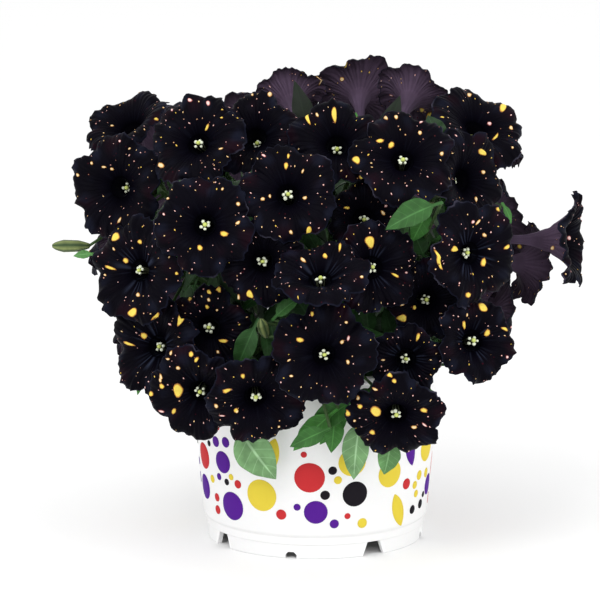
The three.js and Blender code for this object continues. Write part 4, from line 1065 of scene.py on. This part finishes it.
petalMaterial, paintMaterial = makePetalMaterial(), makePaintMaterial()
random = np.random.default_rng(strewn["seed"])
placed, lost = placeShownSpots()
for bloom in blooms:
    skins = Skins()
    points, faces, colours, places = corollaSkin(bloom)
    skins.add(points, faces, colours, places=places)
    for angle, t, under, spot in placed[bloom["number"]]:
        addShownSpot(skins, bloom, angle, t, under, spot)
    addStrewnSpots(skins, bloom, placed[bloom["number"]], random, False)
    if strewn["underFrom"] <= bloom["number"] < len(frontBlooms):
        addStrewnSpots(skins, bloom, placed[bloom["number"]], random, True)
    addStamens(skins, bloom, random)
    number = bloom["number"] + 1
    piece = skins.build("petunia_%02d" % number, [petalMaterial, paintMaterial])
    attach(piece, "root")
    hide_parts("bloom_%02d" % number)
print("blooms built; spots on no bloom:", lost)


leafLook = {
    "stations": 26, "across": 9, "moreStations": 14, "moreAcross": 5, "edge": 0.16, "middle": 0.45,
    "wave": 0.55, "waves": 3.2, "midrib": 0.5, "ribWidth": 0.16, "sideVeins": 6, "slant": 0.16,
    "quilt": 0.28, "usualWidth": 16, "placeOfRib": 0.25, "placeReach": 0.2,
    "deep": rgb(0.013, 0.042, 0.012), "bright": rgb(0.045, 0.190, 0.028),
    "pale": rgb(0.200, 0.350, 0.170), "stalk": rgb(0.040, 0.085, 0.022),
    "budTint": rgb(0.190, 0.230, 0.080), "underPale": 0.35,
    # how much colour is left in the leaves that are darkened as painted shade, where they stand among dark
    # petals, by stem and leaf number
    "paintedShade": {(6, 5): 0.12, (6, 9): 0.12},
}


# a leaf as one closed skin: each station is a loop over its top and back under it, with a groove along
# the midrib, blades quilted between side veins, and waved edges; the middle stays where the solid's is
def leafSkin(leaf, number, stations, columns):
    t = np.linspace(0, 1, stations + 1)[:-1]
    middle, half, side, face, rise = leafStations(leaf, t)
    size = min(1, leaf["width"] / leafLook["usualWidth"])
    across = np.sin(np.linspace(-math.pi / 2, math.pi / 2, columns))
    out = np.abs(across)
    blade = np.clip((t - leafShape["stalk"]) / (1 - leafShape["stalk"]), 0, 1)[:, None]
    belly = np.sin(math.pi * blade)
    wave = leafLook["wave"] * size * np.sin(leafLook["waves"] * 2 * math.pi * blade + 2.3 * number)
    wave = wave * out**3 * belly * np.where(across > 0, 1, -0.8)
    groove = leafLook["midrib"] * size * np.exp(-(across / leafLook["ribWidth"]) ** 2) * belly**0.5
    phase = leafLook["sideVeins"] * math.pi * (blade - leafLook["slant"] * out)
    quilt = leafLook["quilt"] * size * (np.abs(np.sin(phase)) - 0.5) * (1 - across**2) * out**0.5
    lift = out * rise[:, None] + wave - groove + quilt * belly
    thick = leafLook["edge"] + (leafLook["middle"] - leafLook["edge"]) * (1 - out) ** 2
    thick = np.maximum(thick * np.ones_like(lift), 0.55 * (1 - 3 * blade))
    flat = middle[:, None] + (across * half[:, None])[..., None] * side
    top = flat + (lift + thick / 2)[..., None] * face
    bottom = flat + (lift - thick / 2)[..., None] * face
    rings = np.concatenate([top, bottom[:, ::-1]], axis=1)
    base = leaf["from"] - unit(leaf["to"] - leaf["from"]) * 0.3
    points = np.concatenate([rings.reshape(-1, 3), [base, leaf["to"]]])
    rib = leafLook["placeOfRib"]
    around = rib + leafLook["placeReach"] * np.concatenate([out, out[::-1]])
    places = np.stack(np.broadcast_arrays(around, blade), axis=-1)
    places = np.concatenate([places.reshape(-1, 2), [[rib, 0], [rib, 1]]])
    under = np.append(np.tile(np.repeat([0, 1], columns), stations), [0, 0])
    return points, skinFaces(len(rings), rings.shape[1]), places, under


# a leaf's colour: deep at 0, bright at 1 and pale at 2
def leafTint(green):
    steps = [leafLook["deep"], leafLook["bright"], leafLook["pale"]]
    first = min(int(green), 1)
    return blend(steps[first], steps[first + 1], green - first)


# a leaf in its green, paler on its under side, with so much of its colour left as its painted shade allows
def addLeaf(skins, leaf, number, green, left, stations, columns):
    points, faces, places, under = leafSkin(leaf, number, stations, columns)
    underTint = leafLook["pale"] * [0.8, 0.8, 0.8, 1]
    tint = blend(leafTint(green), underTint, leafLook["underPale"] * under)
    skins.add(points, faces, tint * [left, left, left, 1], places=places)


# a bud: a ribbed spindle, in the same place and as thick as the solid
def addBud(skins, bud):
    share, sides = np.linspace(0.02, 0.99, 14), 20
    spindle = np.interp(share, [0, 0.12, 0.3, 0.7, 0.9, 1], [0.35, 0.62, 0.92, 1.0, 0.66, 0.25])
    path = bud["from"] + np.multiply.outer(share, bud["to"] - bud["from"])
    points, faces = tubeSkin(path, spindle * bud["width"] / 2, sides)
    ribs = np.cos(5 * np.tile(circleAngles(sides), len(share)))
    points[:-2] += (points[:-2] - np.repeat(path, sides, axis=0)) * 0.06 * ribs[:, None]
    # painted shade: the grooves between the ribs are darker green than the crests
    tint = blend(leafLook["budTint"], leafLook["deep"], 0.5 - 0.5 * np.append(ribs, [1, 1]))
    skins.add(points, faces, tint)


# the calyx: a small cup under the tube's base that opens into five narrow pointed sepals
def addCalyx(skins, bloom):
    sides, base = 40, -corolla["tubeLength"] - calyx["gap"]
    angle = circleAngles(sides)
    tongue = np.abs(np.cos(2.5 * (angle - math.pi / 5))) ** 1.3
    sepal = calyx["reach"] * (0.04 + 0.96 * np.clip(tongue * 1.25 - 0.12, 0, 1))
    rings = [(1.2, -calyx["length"]), (2.5, -2.2), (calyx["radius"], -0.4)]
    up = np.linspace(0, 1, 9)[1:]
    for wall, shares in ((0, up), (calyx["wall"], up[::-1])):
        for share in shares:
            reach = sepal * share
            spread = (calyx["spread"] - calyx["radius"]) * (reach / calyx["reach"]) ** 1.15
            inward = wall * 0.8 * (1 - share * 0.75)
            rings.append((calyx["radius"] - inward + spread, reach - 0.2 * wall * share))
    rings.append((calyx["radius"] - calyx["wall"], 0))
    points = [onBloom(bloom, angle, distance, base + rise) for distance, rise in rings]
    poles = onBloom(bloom, 0.0, 0.0, [base - calyx["length"] - 0.6, base - 0.05])
    points = np.concatenate(points + [poles])
    rise = (points - bloom["throat"]) @ bloom["axis"] - base
    tint = blend(leafLook["stalk"], leafLook["bright"], smooth(-2, 10, rise))
    skins.add(points, skinFaces(len(rings), sides), tint)


leafMaterialLook = {
    "roughness": 0.55, "specular": 0.25, "sheen": 0.05, "sheenTint": (0.75, 0.9, 0.7, 1), "vein": 0.7,
    "veinTint": (2.6, 2.1, 2.8, 1), "bump": 0.0004,
}


# leaves and stalks: the skin's tint, mottled, paler along the midrib and side veins
def makeLeafMaterial():
    finish = Finish("greenLeaf")
    place, noise = finish.place(), finish.noise(160.0, 4.0)
    colour = finish.mix(0.6, finish.tint(), noise["Fac"], "OVERLAY")
    fromRib = finish.calc("SUBTRACT", place["X"], leafLook["placeOfRib"])
    fromRib = finish.calc("DIVIDE", fromRib, leafLook["placeReach"])
    onBlade = finish.step(place["X"], 0.1, 0.2)
    rib = finish.step(fromRib, 0.10, 0.03)
    along = finish.calc("SUBTRACT", place["Y"], finish.times(fromRib, leafLook["slant"]))
    wave = finish.calc("SINE", finish.times(along, leafLook["sideVeins"] * math.pi))
    sideVein = finish.times(finish.step(finish.calc("ABSOLUTE", wave), 0.16, 0.03), 0.6)
    veins = finish.times(finish.calc("MAXIMUM", rib, sideVein), onBlade)
    share = finish.times(veins, leafMaterialLook["vein"])
    return finish.surface({
        "Base Color": finish.mix(share, colour, leafMaterialLook["veinTint"], "MULTIPLY"),
        "Normal": finish.bump(noise["Fac"], 0.5, leafMaterialLook["bump"]),
        "Roughness": leafMaterialLook["roughness"], "Specular IOR Level": leafMaterialLook["specular"],
        "Sheen Weight": leafMaterialLook["sheen"], "Sheen Tint": leafMaterialLook["sheenTint"]})


# the point of some lines that is the nearest to a point
def nearestOn(lines, point):
    points = np.concatenate(lines)
    return points[np.argmin(np.linalg.norm(points - point, axis=1))]


leafMaterial = makeLeafMaterial()
for stem in stems:
    skins = Skins()
    fine = np.array([pointAlong(stem["path"], share) for share in np.linspace(0, 1, 26)])
    fine[1:-1] = (fine[:-2] + 2 * fine[1:-1] + fine[2:]) / 4
    radii = np.linspace(leafyStem["radius"], leafyStem["tipRadius"], len(fine))
    skins.add(*tubeSkin(fine, radii, 14), leafLook["stalk"])
    lines = [np.array([pointAlong(fine, share) for share in np.linspace(0, 1, 100)])]
    shares = np.linspace(0, 1, 22)
    for route in stem["routes"]:
        radii = np.interp(shares, [0, 0.6, 1], leafyStem["stalkRadii"])
        skins.add(*tubeSkin(cubic(*route["ends"], shares), radii, 10), leafLook["stalk"])
        lines.append(cubic(*route["ends"], np.linspace(0, 1, 100)))
        addCalyx(skins, route["bloom"])
    # twigs and leaves start on the curved stalks, which the solids' stalks follow in two straight parts
    for one in stem["leaves"] + stem["buds"]:
        if "twig" in one:
            start, end = nearestOn(lines, one["twig"][0]), one["twig"][1]
            end = end + unit(one["to"] - one["from"]) * twig["overlap"]
            line = start + (end - start) * np.linspace(0, 1, 8)[:, None]
            skins.add(*tubeSkin(line, twig["radius"], 8), leafLook["stalk"])
        else:
            one["from"] = nearestOn(lines, one["from"])
    for i, leaf in enumerate(stem["leaves"]):
        number = 7 * stem["number"] + i
        green = leaf.get("green", 0.06 + 0.24 * (0.5 + 0.5 * math.sin(2.4 * number)))
        # painted shade: some leaves keep only part of their colour
        left = leafLook["paintedShade"].get((stem["number"], i), 1.0)
        addLeaf(skins, leaf, number, green, left, leafLook["stations"], leafLook["across"])
    for i, leaf in enumerate(stem["more"]):
        number = 5 * stem["number"] + i
        green = 0.14 + 0.12 * math.sin(1.9 * number)
        leaf["from"] = nearestOn(lines, leaf["from"])
        addLeaf(skins, leaf, number, green, 1.0, leafLook["moreStations"], leafLook["moreAcross"])
    for bud in stem["buds"]:
        addBud(skins, bud)
    number = stem["number"] + 1
    piece = skins.build("leafyStem_%d" % number, [leafMaterial])
    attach(piece, "root")
    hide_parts("stem_%d" % number)
print("leafy stems built")


# a level ring of points round the pot's axis
def levelRing(angle, reach, height):
    return np.stack([reach * np.cos(angle), reach * np.sin(angle), height * np.ones(len(angle))], axis=1)


# a body turned about the pot's axis, closed where its profile meets the axis at both ends
def lathe(profile, sides):
    rings = [levelRing(circleAngles(sides), reach, height) for reach, height in profile[1:-1]]
    poles = np.array([[0, 0, profile[0, 1]], [0, 0, profile[-1, 1]]])
    return np.concatenate(rings + [poles]), skinFaces(len(rings), sides)


# a line through corners, with each corner rounded over a short way
def roundProfile(corners, rounding):
    corners = np.array(corners, dtype=float)
    line = [corners[0]]
    for before, corner, after in zip(corners[:-2], corners[1:-1], corners[2:]):
        back, ahead = before - corner, after - corner
        reach = min(rounding, np.linalg.norm(back) * 0.45, np.linalg.norm(ahead) * 0.45)
        start, end = corner + unit(back) * reach, corner + unit(ahead) * reach
        for t in (0, 0.33, 0.67, 1):
            line.append(start * (1 - t) ** 2 + corner * 2 * t * (1 - t) + end * t * t)
    line.append(corners[-1])
    return np.array(line)


# the wall's outer radius grows evenly from its foot to its top
def wallRadius(height):
    share = (height - pot["bandTop"]) / (pot["height"] - pot["bandTop"])
    return pot["wallFoot"] + (pot["wallTop"] - pot["wallFoot"]) * share


potLook = {"sides": 180, "rounding": 0.7, "white": rgb(0.88, 0.88, 0.88), "roughness": 0.28, "coat": 0.35}


# plastic and ink: the skin's tint with a trace of mottle and a fine grain
def makePotMaterial(name, roughness, specular, coat):
    finish = Finish(name)
    noise = finish.noise(400.0, 3.0)
    return finish.surface({
        "Base Color": finish.mix(0.03, finish.tint(), noise["Color"], "MULTIPLY"),
        "Normal": finish.bump(noise["Fac"], 0.15, 0.0001), "Roughness": roughness,
        "Specular IOR Level": specular, "Coat Weight": coat, "Coat Roughness": 0.1})


# a prism with its outline in the plane across the pot's axis or across a direction out from it
def prism(outline, low, high, turn=None):
    outline = np.array(outline, dtype=float)
    side, upward, along = np.eye(3)
    if turn is not None:
        side, upward, along = sideways(turn), along, bearing(turn, 1, 0)
    flat = outline @ np.stack([side, upward])
    rings = [flat + depth * along for depth in (low, high)]
    points = np.concatenate(rings + [[ring.mean(axis=0) for ring in rings]])
    return points, skinFaces(2, len(outline))


# what is cut from the pot: four gaps between its feet, a notch in each foot, and the drain holes
def potCutters():
    skins = Skins()
    reach, depth, lean, chamfer = pot["footRadius"] + 4, 20, 1.6, 1.5
    half = reach * math.tan(math.radians(pot["footGap"] / 2))
    top, narrow, peak = pot["floorHeight"] - 0.02, pot["notchWidth"] / 2, pot["notchHeight"]
    gap = [(-half - lean, -1), (half + lean, -1), (half - lean, top), (-half + lean, top)]
    notch = [(-narrow, -1), (narrow, -1), (narrow, peak - chamfer), (narrow - chamfer, peak),
             (-narrow + chamfer, peak), (-narrow, peak - chamfer)]
    for i in range(4):
        for outline, offset in ((gap, 0), (notch, 45)):
            turn = math.radians(pot["footTurn"] + offset + 90 * i)
            skins.add(*prism(outline, reach - depth, reach, turn), potLook["white"])
    for i in range(pot["drains"]):
        centre = bearing(2 * math.pi * i / pot["drains"], pot["drainRing"], 0)[:2]
        outline = centre + pot["drainRadius"] * circle(24)
        skins.add(*prism(outline, pot["floorHeight"] - 4, pot["floorHeight"] + 4), potLook["white"])
    return skins.build("potCutters", [])


# the pot: a turned profile up the feet, the band and the wall, over the lip and down inside, then cut
def buildPot(material):
    height, floor, bandTop = pot["height"], pot["floorHeight"], pot["bandTop"]
    floorTop, lipFoot = floor + pot["floorThickness"], height - pot["lipHeight"]
    foot, band, wall = pot["footRadius"], pot["bandRadius"], pot["wall"]
    lip, skirt = pot["wallTop"] + pot["lipOverhang"], foot - pot["footThickness"]
    profile = roundProfile([
        (0, floor), (skirt, floor), (skirt, 0), (foot, 0), (foot, floor), (band, floor),
        (band, bandTop - 1), (pot["wallFoot"] - 0.4, bandTop), (pot["wallFoot"], bandTop + 1),
        (wallRadius(lipFoot), lipFoot), (wallRadius(lipFoot) + pot["lipOverhang"], lipFoot + 0.4),
        (lip, height - 0.6), (lip - 0.8, height), (wallRadius(height) - wall, height),
        (wallRadius(bandTop) - wall, bandTop), (band - wall - 1, floorTop), (0, floorTop)],
        potLook["rounding"])
    skins = Skins()
    skins.add(*lathe(profile, potLook["sides"]), potLook["white"])
    piece = skins.build("pot_shell", [material])
    cutters = potCutters()
    cut = piece.modifiers.new("cut", "BOOLEAN")
    cut.object, cut.operation, cut.solver = cutters, "DIFFERENCE", "EXACT"
    finished = bpy.data.meshes.new_from_object(piece.evaluated_get(bpy.context.evaluated_depsgraph_get()))
    piece.modifiers.clear()
    piece.data = finished
    bpy.data.objects.remove(cutters)
    finished.shade_smooth()
    finished.set_sharp_from_angle(angle=math.radians(40))
    return piece


potPiece = buildPot(makePotMaterial("whitePlastic", potLook["roughness"], 0.5, potLook["coat"]))
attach(potPiece, "root")
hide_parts("pot")
print("pot built,", len(potPiece.data.polygons), "faces")


# generic dots and leaf shapes in print colours; each kind has its least and greatest size, how many are
# tried, and the least and greatest height
printing = {
    "lift": 0.12, "sink": 0.35, "seed": 5, "apart": 1.2, "sides": 28,
    "colours": [rgb(0.090, 0.015, 0.270), rgb(0.560, 0.035, 0.040), rgb(0.012, 0.010, 0.014),
                rgb(0.760, 0.600, 0.060)],
    "kinds": [("dot", 5.5, 8.5, 60, 24, 52), ("leaf", 5.0, 7.5, 120, 22, 60),
              ("dot", 1.6, 3.0, 400, 18, 66)],
}


# a dot is a circle, and a leaf shape is one drawn out to two points
def markOutline(kind, size, turn):
    shape = circle(printing["sides"])
    if kind == "leaf":
        shape = shape * np.stack([1.5 * np.ones(len(shape)), 0.62 * np.abs(shape[:, 1]) ** 0.6], axis=1)
    return size * shape @ spotMatrix(1, 1, turn).T


# a mark lies on the wall as rings of its own outline: one sunk into it, one at its face, and two on top
def addMark(skins, turnAround, height, size, turn, colour, kind):
    outline = markOutline(kind, size, turn)
    rings = []
    for scale, lift in ((1.0, -printing["sink"]), (1.0, 0.3 * printing["lift"]),
                        (0.985, printing["lift"]), (0.5, printing["lift"])):
        up = height + outline[:, 1] * scale
        reach = wallRadius(up) + lift
        angle = turnAround + outline[:, 0] * scale / wallRadius(height)
        rings.append(np.stack([np.sin(angle) * reach, -np.cos(angle) * reach, up], axis=1))
    poles = [bearing(turnAround, wallRadius(height) - printing["sink"] - 0.3, height),
             bearing(turnAround, wallRadius(height) + printing["lift"], height)]
    skins.add(np.concatenate(rings + [poles]), skinFaces(len(rings), len(outline)), colour)


# seeded marks, each where it is clear of those before it
def buildPrinting(material):
    skins = Skins()
    random = np.random.default_rng(printing["seed"])
    kept = []
    for kind, low, high, count, floor, ceiling in printing["kinds"]:
        for i in range(count):
            angle, height = random.uniform(0, 2 * math.pi), random.uniform(floor, ceiling)
            size, turn = random.uniform(low, high), random.uniform(0, math.pi)
            reach = size * (1.0 if kind == "dot" else 1.4)
            place = bearing(angle, wallRadius(height), height)
            if all(np.linalg.norm(place - other) > reach + far + printing["apart"] for other, far in kept):
                kept.append((place, reach))
                colour = printing["colours"][len(kept) % len(printing["colours"])]
                addMark(skins, angle, height, size, turn, colour, kind)
    piece = skins.build("pot_print", [material])
    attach(piece, "root")
    print("print marks:", len(kept))


buildPrinting(makePotMaterial("printInk", 0.6, 0.05, 0.0))


soilLook = {
    "sides": 120, "rings": 36, "lump": 1.6, "tint": rgb(0.02, 0.012, 0.007),
    "brown": (0.020, 0.012, 0.007, 1), "fleck": (0.100, 0.065, 0.035, 1),
}


# soil: dark grains with paler flecks
def makeSoilMaterial():
    finish = Finish("pottingSoil")
    noise = finish.noise(420.0, 6.0, 0.7)
    grain = finish.step(noise["Fac"], 0.52, 0.68)
    return finish.surface({"Base Color": finish.mix(grain, soilLook["brown"], soilLook["fleck"]),
                           "Normal": finish.bump(noise["Fac"], 0.9, 0.001), "Roughness": 0.95})


# soil: the solid's side and foot, under a lumpy top
def buildSoil():
    wall = pot["wall"] + soil["gap"]
    floorTop = pot["floorHeight"] + pot["floorThickness"] + soil["gap"]
    top = wallRadius(soil["top"]) - wall - 0.3
    angle = circleAngles(soilLook["sides"])
    rings = [levelRing(angle, pot["bandRadius"] - wall - 1.3, floorTop),
             levelRing(angle, pot["wallFoot"] - wall - 0.5, pot["bandTop"] + 1),
             levelRing(angle, top, soil["top"] - 1)]
    for reach in np.linspace(top * 0.995, 1.2, soilLook["rings"]):
        x, y = reach * np.cos(angle), reach * np.sin(angle)
        bumps = (np.sin(0.9 * x + 1.3 * np.sin(0.7 * y)) * np.cos(1.1 * y + 0.9 * np.sin(0.8 * x))
                 + 0.6 * np.sin(2.3 * x + 1.7 * y) * np.cos(1.9 * y - 2.1 * x))
        rise = 1.2 + soilLook["lump"] * 0.5 * bumps
        rings.append(levelRing(angle, reach, soil["top"] - 0.6 + smooth(0, 6, top - reach) * rise))
    poles = np.array([[0, 0, floorTop], [0, 0, soil["top"] + 0.6]])
    skins = Skins()
    skins.add(np.concatenate(rings + [poles]), skinFaces(len(rings), len(angle)), soilLook["tint"])
    piece = skins.build("soil_plug", [makeSoilMaterial()])
    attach(piece, "root")
    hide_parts("soil")


buildSoil()
print("soil built")


# metres and watts, as the lights have them
studio = {
    "floor": (0.95, 0.95, 0.95, 1), "floorReach": 3.0, "world": 1.03, "aim": (0, 0, 0.12), "lightSize": 0.9,
    "lights": {"key": ((-0.6, -1.1, 1.3), 9), "fill": ((1.1, -0.7, 0.8), 4)},
}


# a pale square floor under the pot
def buildFloor():
    reach = studio["floorReach"]
    mesh = bpy.data.meshes.new("floor")
    corners = [(-reach, -reach, 0), (reach, -reach, 0), (reach, reach, 0), (-reach, reach, 0)]
    mesh.from_pydata(corners, [], [(0, 1, 2, 3)])
    mesh.materials.append(Finish("paleFloor").surface({"Base Color": studio["floor"], "Roughness": 0.9}))
    floor = bpy.data.objects.new("floor", mesh)
    bpy.context.scene.collection.objects.link(floor)


# a square light, turned toward the middle of the plant
def addLight(name, place, power):
    data = bpy.data.lights.new(name, "AREA")
    data.size, data.energy = studio["lightSize"], power
    light = bpy.data.objects.new(name, data)
    light.location = place
    light.rotation_euler = (Vector(studio["aim"]) - Vector(place)).to_track_quat("-Z", "Y").to_euler()
    bpy.context.scene.collection.objects.link(light)


buildFloor()
world = bpy.data.worlds.new("studio")
world.use_nodes = True
world.node_tree.nodes["Background"].inputs["Color"].default_value = (1, 1, 1, 1)
world.node_tree.nodes["Background"].inputs["Strength"].default_value = studio["world"]
bpy.context.scene.world = world
bpy.context.scene.view_settings.view_transform = "Standard"
for name, (place, power) in studio["lights"].items():
    addLight(name, place, power)
print("floor and lights in place")
